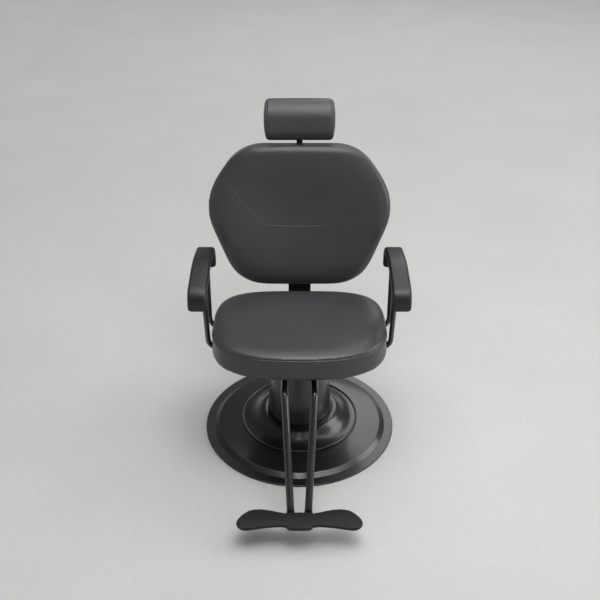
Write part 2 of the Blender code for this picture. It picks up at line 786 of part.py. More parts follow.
def build_arms(seat, board, cushion):
    half = PAD_WIDTH / 2 - PAD_ROUND
    thick = PAD_DEPTH / 2 - PAD_ROUND
    section = []
    for a, b, first in ((half, thick, 0), (-half, thick, 90), (-half, -thick, 180), (half, -thick, 270)):
        for step in range(3):
            turn = math.radians(first + 45 * step)
            section.append((a + PAD_ROUND * math.cos(turn), b + PAD_ROUND * math.sin(turn)))

    # The pad's middle line falls away from its apex both ways, and the rail runs along under it.
    ahead = Vector((-1, -math.tan(math.radians(PAD_FRONT_SLOPE)))).normalized()
    behind = Vector((1, -math.tan(math.radians(PAD_BACK_SLOPE)))).normalized()
    apex = Vector((PAD_APEX, PAD_TOP - PAD_DEPTH / 2))
    front = apex + ahead * ((PAD_FRONT + PAD_DEPTH / 2 - apex.x) / ahead.x)
    rear = apex + behind * ((PAD_BACK - PAD_DEPTH / 2 - apex.x) / behind.x)
    below = PAD_DEPTH / 2 + 2 * TOUCH + ARM_TUBE_RADIUS
    crown = apex + (ahead + behind).normalized() * below / math.sin(ahead.angle(behind) / 2)
    rail_front = crown + ahead * ((ARM_FRONT_TOP - crown.x) / ahead.x)
    rail_rear = crown + behind * ((ARM_REAR_TOP - crown.x) / behind.x)
    front_z = seat_level(ARM_FRONT_FOOT) + ARM_SINK - ARM_TUBE_RADIUS
    rear_z = seat_level(ARM_REAR_FOOT) + ARM_SINK - ARM_TUBE_RADIUS
    crown_x = (ARM_FRONT_X + ARM_REAR_X) / 2

    for side, label in ((-1, "left"), (1, "right")):
        frame = [(ARM_FOOT_END, ARM_FRONT_FOOT, front_z), (ARM_FRONT_X, ARM_FRONT_FOOT, front_z)]
        frame += [(ARM_FRONT_X, *rail_front), (crown_x, *crown), (ARM_REAR_X, *rail_rear)]
        frame += [(ARM_REAR_X, ARM_REAR_FOOT, rear_z), (ARM_FOOT_END, ARM_REAR_FOOT, rear_z)]
        frame = [(side * x, y, z) for x, y, z in frame]
        bends = [0, ARM_FOOT_BEND, ARM_BEND, PAD_ARCH - below, ARM_BEND, ARM_FOOT_BEND, 0]
        path = fillet(frame, bends, 4)
        tube = sweep(path, circle(ARM_TUBE_RADIUS, 10), (0, 1, 0))
        piece(f"arm_frame_{label}", shape(tube), "coated_steel", seat, True)
        inward = Vector((-side * SWING, 0, 0))
        groove = [path[0] + inward, *path[1:-1], path[-1] + inward]
        groove = sweep(groove, circle(ARM_TUBE_RADIUS + TOUCH, 10), (0, 1, 0))
        combine(board, "DIFFERENCE", groove, parent=seat)
        combine(cushion, "DIFFERENCE", groove, parent=seat)

        x = side * PAD_X
        saddle = [(x, front.x, PAD_TOP - PAD_FRONT_DROP), (x, *front), (x, *apex), (x, *rear)]
        saddle.append((x, rear.x, PAD_TOP - PAD_BACK_DROP))
        path = fillet(saddle, [0, PAD_BEND, PAD_ARCH, PAD_BEND, 0], 5)
        end_round = Vector((0, 0, PAD_ROUND * 0.6))
        path[0:1] = [path[0], path[0] + end_round]
        path[-1:] = [path[-1] + end_round, path[-1]]
        scales = [(0.82, 0.82)] + [(1, 1)] * (len(path) - 2) + [(0.82, 0.82)]
        grip = sweep(path, section, (1, 0, 0), scales)
        piece(f"arm_pad_{label}", shape(grip), "moulded_foam", seat, True)


# Footrest


def foot_outline():
    """The winged plate from half of it, in shares of its half width and of its depth from the rear line."""
    half = [(0, 0), (0.2174, -0.0606), (0.4348, 0.0909), (0.6413, 0.1894), (0.8152, 0.0909)]
    half += [(0.9511, -0.2727), (1, -0.6061), (0.9565, -0.8636), (0.8424, -1), (0.5978, -0.8712)]
    half += [(0.337, -0.7879), (0.212, -0.8333), (0.174, -0.9697), (0, -1)]
    half = [(x * FOOT_HALF_WIDTH, y * FOOT_DEPTH) for x, y in half]
    corners = half + [(-x, y) for x, y in half[-2:0:-1]]
    points = []
    for i in range(len(corners)):
        a, b, c, d = [Vector(corners[(i + k) % len(corners)]) for k in (-1, 0, 1, 2)]
        for step in range(2):
            t = step / 2
            curve = b * 2 + (c - a) * t + (a * 2 - b * 5 + c * 4 - d) * t**2
            curve += (b * 3 - a - c * 3 + d) * t**3
            points.append(curve / 2 + Vector((0, FOOT_REAR_LINE)))
    return points[::-1]


def build_footrest(seat):
    tube_z = bracket_low - FOOT_BLOCK_WALL - FOOT_TUBE_RADIUS - TOUCH
    block_front = -BRACKET_FRONT
    block_rear = block_front + FOOT_BLOCK_LENGTH
    half = FOOT_TUBE_X + FOOT_TUBE_RADIUS + 2 * FOOT_BLOCK_WALL
    block_low = tube_z - FOOT_TUBE_RADIUS - FOOT_BLOCK_WALL
    body = box((-half, block_front, block_low), (half, block_rear, bracket_low - TOUCH))
    block = piece("foot_block", shape(body), "coated_steel", seat, True)

    plate_low = FOOT_TOP - FOOT_THICK
    flat_z = plate_low - TOUCH - FOOT_FLAT_THICK / 2
    flat_end = FOOT_REAR_LINE - FOOT_FLAT_END
    flat = (FOOT_FLAT_WIDTH / 2 / FOOT_TUBE_RADIUS, FOOT_FLAT_THICK / 2 / FOOT_TUBE_RADIUS)
    bend_steps = 5
    bores = []
    tubes = []
    for side, label in ((-1, "left"), (1, "right")):
        start = Vector((side * FOOT_TUBE_X, block_rear, tube_z))
        knee = (side * FOOT_TUBE_X, FOOT_BEND_Y, tube_z)
        ankle = (side * FOOT_TUBE_LOW_X, FOOT_TUBE_LOW_Y, flat_z)
        toe = (side * FOOT_TUBE_LOW_X, flat_end, flat_z)
        path = fillet([start, knee, ankle, toe], [0, FOOT_BEND, FOOT_LOW_BEND, 0], bend_steps)
        # The tube is pressed flat through its lower bend, to lie against the plate.
        scales = [(1, 1)] * (bend_steps + 2)
        for step in range(bend_steps + 1):
            share = step / bend_steps
            scales.append((1 + (flat[0] - 1) * share, 1 + (flat[1] - 1) * share))
        scales.append(flat)
        tube = sweep(path, circle(FOOT_TUBE_RADIUS, PIN_SIDES), (1, 0, 0), scales)
        tubes.append(piece(f"foot_tube_{label}", shape(tube), "coated_steel", seat, True))
        ahead = Vector((0, -SWING, 0))
        bore = [start - ahead, start + Vector((0, -FOOT_BLOCK_LENGTH, 0)) + ahead]
        bores.append(sweep(bore, circle(FOOT_TUBE_RADIUS + TOUCH, PIN_SIDES), (1, 0, 0)))
    combine(block, "DIFFERENCE", *bores)

    outline = foot_outline()
    rings = []
    rounds = ((FOOT_ROUND, 0), (0, FOOT_ROUND), (0, FOOT_THICK - FOOT_ROUND))
    rounds += ((FOOT_ROUND * 0.35, FOOT_THICK - FOOT_ROUND * 0.35), (FOOT_ROUND * 1.6, FOOT_THICK))
    for distance, rise in rounds:
        rings.append([(p.x, p.y, plate_low + rise) for p in inset(outline, distance)])
    plate = piece("foot_plate", shape(loft(rings)), "aluminium", seat, True)

    up = (0, 0, 1)
    bolt_y = flat_end + 2 * BOLT_HEAD_RADIUS
    grip = FOOT_FLAT_THICK + FOOT_THICK * 0.6
    for side, label, tube in ((-1, "left", tubes[0]), (1, "right", tubes[1])):
        spot = (side * FOOT_TUBE_LOW_X, bolt_y, flat_z - FOOT_FLAT_THICK / 2)
        piece(f"foot_bolt_{label}", shape(bolt(spot, up, grip)), "steel", seat, True)
        hole = bolt_hole(spot, up, grip + TOUCH * 2)
        combine(tube, "DIFFERENCE", hole)
        combine(plate, "DIFFERENCE", hole)


# Recline


def capsule(first, first_radius, second, second_radius):
    """The outline of a bar with two round ends."""
    first, second = Vector(first), Vector(second)
    heading = math.atan2(second.y - first.y, second.x - first.x)
    points = []
    for centre, radius, start in ((second, second_radius, -90), (first, first_radius, 90)):
        for step in range(7):
            turn = heading + math.radians(start + 30 * step)
            points.append((centre.x + radius * math.cos(turn), centre.y + radius * math.sin(turn)))
    return points


def build_recline(seat):
    spine_half = SPINE_WIDTH / 2
    ear_in = spine_half + TOUCH
    ear_out = ear_in + EAR_THICK
    floor = bracket_low + STEEL + TOUCH
    bar_top = floor + HINGE_ARM_DEPTH
    ear = []
    for step in range(9):
        turn = math.radians(-112.5 + 28.125 * step)
        ear.append((HINGE_Y + EAR_RADIUS * math.cos(turn), hinge_z + EAR_RADIUS * math.sin(turn)))
    profile = [(HINGE_ARM_START, floor), (BRACKET_REAR + SWING, floor)] + ear
    profile += [(HINGE_Y - 3 * EAR_RADIUS, bar_top), (HINGE_ARM_START, bar_top)]
    ends = [(side * (ear_out + SWING), HINGE_Y, hinge_z) for side in (-1, 1)]
    pin_hole = rod(*ends, HINGE_PIN_RADIUS + TOUCH)
    for side, label in ((-1, "left"), (1, "right")):
        low, high = sorted((side * ear_in, side * ear_out))
        arm = piece(f"hinge_arm_{label}", shape(prism(profile, "X", low, high)), "coated_steel", seat, True)
        combine(arm, "DIFFERENCE", pin_hole)
    pin_end = ear_out + 2 * EAR_THICK / 3
    pin = rod((-pin_end, HINGE_Y, hinge_z), (pin_end, HINGE_Y, hinge_z), HINGE_PIN_RADIUS)
    piece("hinge_pin", shape(pin), "steel", seat, True)

    valve_front = VALVE_Y - VALVE_LENGTH / 2
    valve_rear = VALVE_Y + VALVE_LENGTH / 2
    valve_half = VALVE_WIDTH / 2
    valve_low = gas_z - GAS_RADIUS - FORK_WALL
    body = box((-valve_half, valve_front, valve_low), (valve_half, valve_rear, bracket_low - TOUCH))
    valve = piece("valve_block", shape(body), "aluminium", seat, True)
    handle_in = valve_half * 0.35
    socket_ends = [(x, VALVE_Y, handle_z) for x in (handle_in - TOUCH, HANDLE_END)]
    socket = rod(*socket_ends, HANDLE_ROD_RADIUS + RUNNING)
    combine(valve, "DIFFERENCE", socket)

    gas_start = valve_rear + TOUCH
    gas_end = gas_start + GAS_LENGTH
    barrel = rod((0, gas_start, gas_z), (0, gas_end, gas_z), GAS_RADIUS, 20)
    cylinder = piece("gas_cylinder", shape(barrel), "coated_steel", seat, True)
    eye_y = HINGE_Y + LEVER_LENGTH * math.sin(math.radians(RECLINE / 2))
    stroke = 2 * (eye_y - HINGE_Y)
    fork_half = LEVER_HALF + 2 * RUNNING + FORK_WALL
    fork_base = eye_y - LEVER_EYE_RADIUS - 2 * SWING
    fork_front = fork_base - 2 * FORK_WALL
    fork_hole = LEVER_PIN_RADIUS + FORK_SLACK
    fork_rise = fork_hole + FORK_WALL
    rod_in = gas_end - stroke - 2 * SWING
    well = rod((0, rod_in - stroke - SWING, gas_z), (0, gas_end + SWING, gas_z), ROD_RADIUS + RUNNING)
    combine(cylinder, "DIFFERENCE", well)
    slide = axis_empty("gas_rod_axis", (0, gas_end, gas_z), seat)
    stem = rod((0, rod_in, gas_z), (0, fork_front + FORK_WALL, gas_z), ROD_RADIUS)
    gas_rod = piece("gas_rod", shape(stem), "polished_steel", slide, True)
    cheek_end = eye_y + fork_hole + FORK_WALL
    cheek = LEVER_HALF + 2 * RUNNING
    plan = [(fork_half, fork_front), (fork_half, cheek_end), (cheek, cheek_end), (cheek, fork_base)]
    plan = plan + [(-x, y) for x, y in plan[::-1]]
    combine(gas_rod, "UNION", prism(plan, "Z", gas_z - fork_rise, gas_z + fork_rise))
    across = rod((-fork_half - SWING, eye_y, gas_z), (fork_half + SWING, eye_y, gas_z), fork_hole)
    combine(gas_rod, "DIFFERENCE", across)

    turn = axis_empty("release_axis", (0, VALVE_Y, handle_z), seat)
    shaft_end = HANDLE_END - HANDLE_ROD_RADIUS
    shaft = rod((handle_in, VALVE_Y, handle_z), (shaft_end, VALVE_Y, handle_z), HANDLE_ROD_RADIUS)
    handle = piece("release_lever", shape(shaft), "coated_steel", turn, True)
    paddle = box(
        (HANDLE_END - HANDLE_PADDLE, VALVE_Y - HANDLE_ROD_RADIUS / 3, handle_z - HANDLE_THICK / 2),
        (HANDLE_END, VALVE_Y + HANDLE_DEPTH, handle_z + HANDLE_THICK / 2),
    )
    combine(handle, "UNION", paddle)
    guide_half = 2 * HANDLE_ROD_RADIUS
    tab = box(
        (GUIDE_X, VALVE_Y - guide_half, handle_z - guide_half),
        (GUIDE_X + STEEL, VALVE_Y + guide_half, seat_level(VALVE_Y + guide_half) - STEEL - 3 * TOUCH),
    )
    guide = piece("lever_guide", shape(tab), "coated_steel", seat, True)
    combine(guide, "DIFFERENCE", socket)


# Back


def back_outline(steps):
    corners = [(BACK_FOOT_HALF, 0), (BACK_WAIST_HALF, BACK_WAIST_HEIGHT), (BACK_TOP_HALF, BACK_HEIGHT)]
    corners += [(-x, s) for x, s in corners[::-1]]
    radii = [BACK_FOOT_ROUND, BACK_WAIST_ROUND, BACK_TOP_ROUND]
    return fillet(corners, radii + radii[::-1], steps, closed=True)


def build_back(seat):
    back = axis_empty("back_axis", (0, HINGE_Y, hinge_z), seat, BACK_TILT)
    spine_half = SPINE_WIDTH / 2
    spine_low = KNUCKLE_RADIUS * 0.6
    plate = box((-spine_half, -SPINE_THICK / 2, spine_low), (spine_half, SPINE_THICK / 2, spine_top))
    spine = piece("spine_bar", shape(plate), "coated_steel", back)
    knuckle = spine_half
    combine(spine, "UNION", rod((-knuckle, 0, 0), (knuckle, 0, 0), KNUCKLE_RADIUS, 24))
    lean = math.radians(RECLINE / 2 + BACK_TILT)
    eye = (LEVER_LENGTH * math.sin(lean), -LEVER_LENGTH * math.cos(lean))
    tail = capsule((0, 0), KNUCKLE_RADIUS * 0.8, eye, LEVER_EYE_RADIUS)
    combine(spine, "UNION", prism(tail, "X", -LEVER_HALF, LEVER_HALF))
    eye_end = LEVER_HALF + 2 * RUNNING + 2 * FORK_WALL
    piece("lever_pin", shape(rod((-eye_end, *eye), (eye_end, *eye), LEVER_PIN_RADIUS)), "steel", back)

    ahead = (0, -1, 0)
    rear_face = SPINE_THICK / 2
    rows = (BACK_LOW + (spine_top - BACK_LOW) * 0.25, spine_top - 3 * BOLT_HEAD_RADIUS)
    spots = [(0, rear_face, z) for z in rows]
    grip = SPINE_THICK + REAR_COVER_THICK + BOARD_THICK * 0.75
    for label, spot in zip(("lower", "upper"), spots):
        piece(f"spine_bolt_{label}", shape(bolt(spot, ahead, grip)), "steel", back)
    holes = [bolt_hole(spot, ahead, grip + TOUCH * 4) for spot in spots]
    end = knuckle + SWING
    pin_hole = rod((-end, 0, 0), (end, 0, 0), HINGE_PIN_RADIUS + RUNNING, 24)
    eye_hole = rod((-end, *eye), (end, *eye), LEVER_PIN_RADIUS + TOUCH)
    combine(spine, "DIFFERENCE", pin_hole, eye_hole, *holes)

    outline = resample(back_outline(8), 60)

    def place(x, s, rise):
        return (x, cushion_rear - rise, BACK_LOW + s)

    rear = [(point.x, BACK_LOW + point.y) for point in inset(outline, SEAM_DEPTH)]
    cover = piece("back_cover", shape(prism(rear, "Y", cover_front, cover_rear)), "upholstery", back)
    panel = [(point.x, BACK_LOW + point.y) for point in inset(outline, SKIRT)]
    board = prism(panel, "Y", cushion_rear - BOARD_THICK, cushion_rear)
    board = piece("back_board", shape(board), "plywood", back)
    layers = cushion_layers(SKIRT, BOARD_THICK, BACK_THICK, BACK_CROWN)
    rings = cushion_rings(outline, layers, -BACK_DISH, layers[-1][1], place)
    cushion = piece("back_cushion", shape(loft(rings)), "upholstery", back)
    combine(cushion, "DIFFERENCE", smile(outline, layers, place))
    combine(cover, "DIFFERENCE", *holes)
    combine(board, "DIFFERENCE", *holes)
    return back


def smile(outline, layers, place):
    """The sewn channel across the back: a cord pressed into the panel along a smile-shaped curve."""
    edge = inset(outline, layers[-1][0])
    middle = sum(edge, Vector((0, 0))) / len(edge)
    steps = 24
    path = []
    for k in range(steps + 1):
        x = SMILE_HALF * (2 * k / steps - 1)
        point = Vector((x, SMILE_LOW + SMILE_RISE * abs(x / SMILE_HALF) ** SMILE_POWER))
        reach = point - middle
        share = 1.0
        for a, b in zip(edge, edge[1:] + edge[:1]):
            side = b - a
            cross = reach.x * side.y - reach.y * side.x
            if abs(cross) < 1e-9:
                continue
            t = ((a - middle).x * side.y - (a - middle).y * side.x) / cross
            u = ((a - middle).x * reach.y - (a - middle).y * reach.x) / cross
            if t > 0 and 0 <= u <= 1:
                share = 1 / t
        level = layers[-1][1] - BACK_DISH * (1 - share**2.4)
        path.append(place(point.x, point.y, level + SMILE_CORD - SMILE_DEPTH))
    return sweep(path, circle(SMILE_CORD, 8), (0, 1, 0))


# Headrest


def build_headrest(back):
    half = POST_WIDTH / 2
    slot_half = half + TOUCH
    slot_rear = post_y + POST_THICK / 2 + TOUCH
    sleeve_half = slot_half + SLEEVE_WALL
    sleeve_rear = slot_rear + SLEEVE_WALL
    flange = sleeve_half + SLEEVE_FLANGE
    flange_rear = sleeve_front + SLEEVE_FLANGE_THICK
    sleeve_top = sleeve_low + SLEEVE_HEIGHT
    section = [(flange, sleeve_front), (flange, flange_rear)]
    section += [(sleeve_half, flange_rear), (sleeve_half, sleeve_rear)]
    section += [(-x, y) for x, y in section[::-1]]
    sleeve = prism(section, "Z", sleeve_low, sleeve_top)
    sleeve = piece("headrest_sleeve", shape(sleeve), "coated_steel", back)
    knob_z = (sleeve_low + sleeve_top) / 2
    channel = box((-slot_half, slot_front, sleeve_low - SWING), (slot_half, slot_rear, sleeve_top + SWING))
    screw_way = rod((0, post_y, knob_z), (0, sleeve_rear + SWING, knob_z), KNOB_SCREW_RADIUS + RUNNING)
    combine(sleeve, "DIFFERENCE", channel)
    combine(sleeve, "DIFFERENCE", screw_way)

    knob_axis = bpy.data.objects.new("knob_axis", None)
    bpy.context.collection.objects.link(knob_axis)
    knob_axis.parent = back
    knob_axis.location = (0, sleeve_rear, knob_z)
    tip = slot_rear - sleeve_rear
    grip_from = SWING
    grip_to = grip_from + KNOB_LENGTH
    profile = [(0, tip), (KNOB_SCREW_RADIUS, tip), (KNOB_SCREW_RADIUS, grip_from)]
    profile += [(KNOB_RADIUS * 0.85, grip_from), (KNOB_RADIUS, grip_from + KNOB_LENGTH * 0.2)]
    profile += [(KNOB_RADIUS * 0.9, grip_to), (0, grip_to)]
    piece("headrest_knob", shape(revolve(profile, PIN_SIDES, along=(0, 1, 0))), "plastic", knob_axis)

    slide = bpy.data.objects.new("post_axis", None)
    bpy.context.collection.objects.link(slide)
    slide.parent = back
    slide.location = (0, post_y, post_low)
    tilt_rise = head_z - post_low
    post_foot = (-half, -POST_THICK / 2, 0)
    post_head = (half, POST_THICK / 2, tilt_rise + 2 * HEAD_PIN_RADIUS)
    post = piece("headrest_post", shape(box(post_foot, post_head)), "coated_steel", slide)
    pin_hole = rod((-half - SWING, 0, tilt_rise), (half + SWING, 0, tilt_rise), HEAD_PIN_RADIUS + RUNNING)
    combine(post, "DIFFERENCE", pin_hole)

    head = bpy.data.objects.new("head_axis", None)
    bpy.context.collection.objects.link(head)
    head.parent = slide
    head.location = (0, 0, tilt_rise)
    front = -(HEAD_FRONT + post_y)
    rear = front + HEAD_THICK
    round_points = [(HEAD_WIDTH / 2, -HEAD_HEIGHT / 2), (HEAD_WIDTH / 2, HEAD_HEIGHT / 2)]
    round_points += [(-x, z) for x, z in round_points[::-1]]
    outline = resample(fillet(round_points, [HEAD_ROUND] * 4, 6, closed=True), 48)

    def place(x, s, rise):
        return (x, rear - rise, s)

    layers = cushion_layers(SKIRT, HEAD_BOARD_THICK, HEAD_THICK, HEAD_CROWN)
    rings = cushion_rings(outline, layers, HEAD_CROWN * 0.36, layers[-1][1], place)
    piece("headrest_cushion", shape(loft(rings)), "upholstery", head)
    panel = prism([(p.x, p.y) for p in inset(outline, SKIRT)], "Y", rear - HEAD_BOARD_THICK, rear)
    piece("headrest_board", shape(panel), "plywood", head)

    ear_in = half + TOUCH
    ear_out = ear_in + HEAD_EAR_THICK
    base_rear = rear + TOUCH + HEAD_EAR_THICK
    base_half = ear_out + HEAD_BASE_MARGIN
    base_rise = HEAD_EAR_RADIUS + HEAD_BASE_MARGIN / 2
    base = box((-base_half, rear + TOUCH, -base_rise), (base_half, base_rear, base_rise))
    bracket = piece("headrest_bracket", shape(base), "coated_steel", head)
    ears = []
    for side in (-1, 1):
        profile = capsule((base_rear - HEAD_EAR_THICK / 2, 0), HEAD_EAR_RADIUS, (0, 0), HEAD_EAR_RADIUS)
        profile = [(max(y, base_rear - HEAD_EAR_THICK / 2), z) for y, z in profile]
        low, high = sorted((side * ear_in, side * ear_out))
        ears.append(prism(profile, "X", low, high))
    combine(bracket, "UNION", *ears)
    pin_end = ear_out + HEAD_EAR_THICK
    pin = rod((-pin_end, 0, 0), (pin_end, 0, 0), HEAD_PIN_RADIUS)
    piece("headrest_pin", shape(pin), "steel", head)
    ear_hole = rod((-pin_end, 0, 0), (pin_end, 0, 0), HEAD_PIN_RADIUS + TOUCH)
    combine(bracket, "DIFFERENCE", ear_hole)


column = build_base()
ram = build_pump()
build_pedal(column)
seat, bracket = build_swivel(ram)
seat_board, seat_cushion = build_seat(seat, bracket)
build_arms(seat, seat_board, seat_cushion)
build_footrest(seat)
build_recline(seat)
back = build_back(seat)
build_headrest(back)
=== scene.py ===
import math

import bmesh
import bpy
from mathutils import Matrix, Vector
from mathutils.bvhtree import BVHTree


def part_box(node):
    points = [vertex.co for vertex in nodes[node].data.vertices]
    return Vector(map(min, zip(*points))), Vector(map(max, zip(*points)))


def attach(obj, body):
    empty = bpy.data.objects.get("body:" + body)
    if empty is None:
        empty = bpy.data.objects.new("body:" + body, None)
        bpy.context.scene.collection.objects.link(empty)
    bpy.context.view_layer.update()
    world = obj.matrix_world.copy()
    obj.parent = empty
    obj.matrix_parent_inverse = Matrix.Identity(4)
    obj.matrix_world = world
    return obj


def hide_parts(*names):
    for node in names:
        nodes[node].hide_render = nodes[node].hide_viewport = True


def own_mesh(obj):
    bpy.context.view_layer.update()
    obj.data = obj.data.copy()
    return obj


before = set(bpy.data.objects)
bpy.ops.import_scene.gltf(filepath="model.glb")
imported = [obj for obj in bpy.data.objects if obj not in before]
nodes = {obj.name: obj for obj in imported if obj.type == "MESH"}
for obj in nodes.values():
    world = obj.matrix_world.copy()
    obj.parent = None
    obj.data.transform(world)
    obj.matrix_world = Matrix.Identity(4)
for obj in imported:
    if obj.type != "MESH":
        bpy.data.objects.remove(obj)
scene = bpy.context.scene
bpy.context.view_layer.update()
print("frame loaded,", len(nodes), "nodes")


# Small tools

def hexColour(code):  # sRGB hex to the linear colour the shaders want
    parts = [int(code[k:k + 2], 16) / 255 for k in (1, 3, 5)]
    return [p / 12.92 if p <= 0.04045 else ((p + 0.055) / 1.055) ** 2.4 for p in parts] + [1]


def addNode(tree, kind, settings=None, links=None):  # a node with its settings and what feeds it
    node = tree.nodes.new(kind)
    for name, value in (settings or {}).items():
        if isinstance(name, int) or name in node.inputs:
            node.inputs[name].default_value = value
        else:
            setattr(node, name, value)
    for name, socket in (links or {}).items():
        tree.links.new(socket, node.inputs[name])
    return node


def startMaterial(name, roughness, metallic=0.0):
    material = bpy.data.materials.new(name)
    material.use_nodes = True
    tree = material.node_tree
    shader = tree.nodes["Principled BSDF"]
    shader.inputs["Roughness"].default_value = roughness
    shader.inputs["Metallic"].default_value = metallic
    place = addNode(tree, "ShaderNodeTexCoord").outputs["Object"]  # metres on the chair itself
    return material, tree, shader, place


def noise(tree, place, scale, detail):
    return addNode(tree, "ShaderNodeTexNoise", {"Scale": scale, "Detail": detail}, {"Vector": place}).outputs[0]


def waves(tree, place, spacing, settings):  # ridges this many metres apart
    scale = 0.314 / spacing  # at scale 1 the ridges are 0.314 m apart
    return addNode(tree, "ShaderNodeTexWave", {"Scale": scale, **settings}, {"Vector": place}).outputs[1]


def mapped(tree, value, settings):
    return addNode(tree, "ShaderNodeMapRange", settings, {0: value}).outputs[0]


def mixTone(tree, share, first, second):  # the first may be a hex colour or another tone
    settings = {"data_type": "RGBA", 7: hexColour(second)}
    links = {0: share}
    if isinstance(first, str):
        settings[6] = hexColour(first)
    else:
        links[6] = first
    return addNode(tree, "ShaderNodeMix", settings, links).outputs[2]


def bumped(tree, height, strength, distance, below=None, **settings):
    links = {"Height": height}
    if below is not None:
        links["Normal"] = below
    return addNode(tree, "ShaderNodeBump", {"Strength": strength, "Distance": distance, **settings}, links).outputs[0]


def feed(tree, shader, colour, normal, roughness=None):
    tree.links.new(colour, shader.inputs["Base Color"])
    tree.links.new(normal, shader.inputs["Normal"])
    if roughness is not None:
        tree.links.new(roughness, shader.inputs["Roughness"])


def newPiece(name, mesh):
    piece = bpy.data.objects.new(name, mesh)
    scene.collection.objects.link(piece)
    return piece


def toMesh(bm, name):
    mesh = bpy.data.meshes.new(name)
    bm.to_mesh(mesh)
    bm.free()
    return mesh


def settle(piece):  # turns the modifiers into plain mesh
    shape = piece.evaluated_get(bpy.context.evaluated_depsgraph_get())
    mesh = bpy.data.meshes.new_from_object(shape)
    piece.modifiers.clear()
    piece.data = mesh


def skin(rings):  # a closed mesh over rings of equally many points
    bm = bmesh.new()
    rows = [[bm.verts.new(point) for point in ring] for ring in rings]
    count = len(rows[0])
    for a, b in zip(rows, rows[1:]):
        for k in range(count):
            bm.faces.new((a[k], a[(k + 1) % count], b[(k + 1) % count], b[k]))
    bm.faces.new(rows[0][::-1])
    bm.faces.new(rows[-1])
    bmesh.ops.recalc_face_normals(bm, faces=bm.faces)
    return toMesh(bm, "skin")


def roundCorner(before, corner, after, radius, steps):  # points of the arc that takes a corner's place
    corner = Vector(corner)
    toBefore = (Vector(before) - corner).normalized()
    toAfter = (Vector(after) - corner).normalized()
    half = toBefore.angle(toAfter) / 2
    middle = corner + (toBefore + toAfter).normalized() * radius / math.sin(half)
    first = corner + toBefore * radius / math.tan(half) - middle
    last = corner + toAfter * radius / math.tan(half) - middle
    return [middle + first.slerp(last, step / steps) * first.length for step in range(steps + 1)]


def roundCorners(corners, radii, steps):  # closed outline with its corners rounded
    points = []
    for k, corner in enumerate(corners):
        points += roundCorner(corners[k - 1], corner, corners[(k + 1) % len(corners)], radii[k], steps)
    return points


def bendPath(points, radii, steps):  # open path with its inner corners rounded
    out = [Vector(points[0])]
    for k in range(1, len(points) - 1):
        out += roundCorner(points[k - 1], points[k], points[k + 1], radii[k - 1], steps)
    return out + [Vector(points[-1])]


def evenly(points, count):  # the same closed outline with equally spaced points
    loop = points + points[:1]
    gaps = [(b - a).length for a, b in zip(loop, loop[1:])]
    total = sum(gaps)
    out = []
    index = 0
    passed = 0.0
    for k in range(count):
        want = total * k / count
        while passed + gaps[index] < want:
            passed += gaps[index]
            index += 1
        share = (want - passed) / gaps[index] if gaps[index] else 0
        out.append(loop[index].lerp(loop[index + 1], share))
    return out


def inset(points, distance):  # the outline moved inwards
    out = []
    count = len(points)
    for k, point in enumerate(points):
        along = (points[(k + 1) % count] - points[k - 1]).normalized()
        out.append(point + Vector((-along.y, along.x)) * distance)
    return out


def circle(count):  # the angles of equally spaced points on a circle
    return [2 * math.pi * k / count for k in range(count)]


# Camera, floor and lamps

view = {"place": (0, -2.2744, 1.8891), "tilt": 58.563, "lens": 50, "shift": 0.0008}
camera = bpy.data.objects.new("camera", bpy.data.cameras.new("camera"))
camera.location = view["place"]
camera.rotation_euler = (math.radians(view["tilt"]), 0, 0)
camera.data.lens = view["lens"]
camera.data.shift_x = view["shift"]
scene.collection.objects.link(camera)
scene.camera = camera
scene.view_settings.view_transform = "Standard"

# A round floor that sweeps up into a wall on every side
stageSize = {"rings": (0.8, 2, 5), "flat": 11.0, "radius": 3.0, "top": 6.0, "rim": 96, "sweep": 12}
profile = [(reach, 0) for reach in (*stageSize["rings"], stageSize["flat"])]
for step in range(1, stageSize["sweep"] + 1):
    turn = math.radians(90 * step / stageSize["sweep"])
    rise = stageSize["radius"] * (1 - math.cos(turn))
    profile.append((stageSize["flat"] + stageSize["radius"] * math.sin(turn), rise))
profile.append((profile[-1][0], stageSize["top"]))
bm = bmesh.new()
rows = []
for reach, height in profile:
    turns = circle(stageSize["rim"])
    rows.append([bm.verts.new((reach * math.cos(t), reach * math.sin(t), height)) for t in turns])
bm.faces.new(rows[0])
for inner, outer in zip(rows, rows[1:]):
    for k in range(stageSize["rim"]):
        bm.faces.new((inner[k - 1], outer[k - 1], outer[k], inner[k]))
floorMesh = toMesh(bm, "floor")
floorMesh.shade_smooth()
floor = newPiece("floor", floorMesh)

# Ground concrete: pale, with faint clouds and fine flecks
concrete, tree, shader, place = startMaterial("ground concrete", 0.75)
flecks = noise(tree, place, 60, 3)
both = addNode(tree, "ShaderNodeMath", {"operation": "MULTIPLY"}, {0: noise(tree, place, 2.2, 6), 1: flecks})
feed(tree, shader, mixTone(tree, both.outputs[0], "#bbbbb9", "#d1d1d1"), bumped(tree, flecks, 0.05, 0.001))
floorMesh.materials.append(concrete)

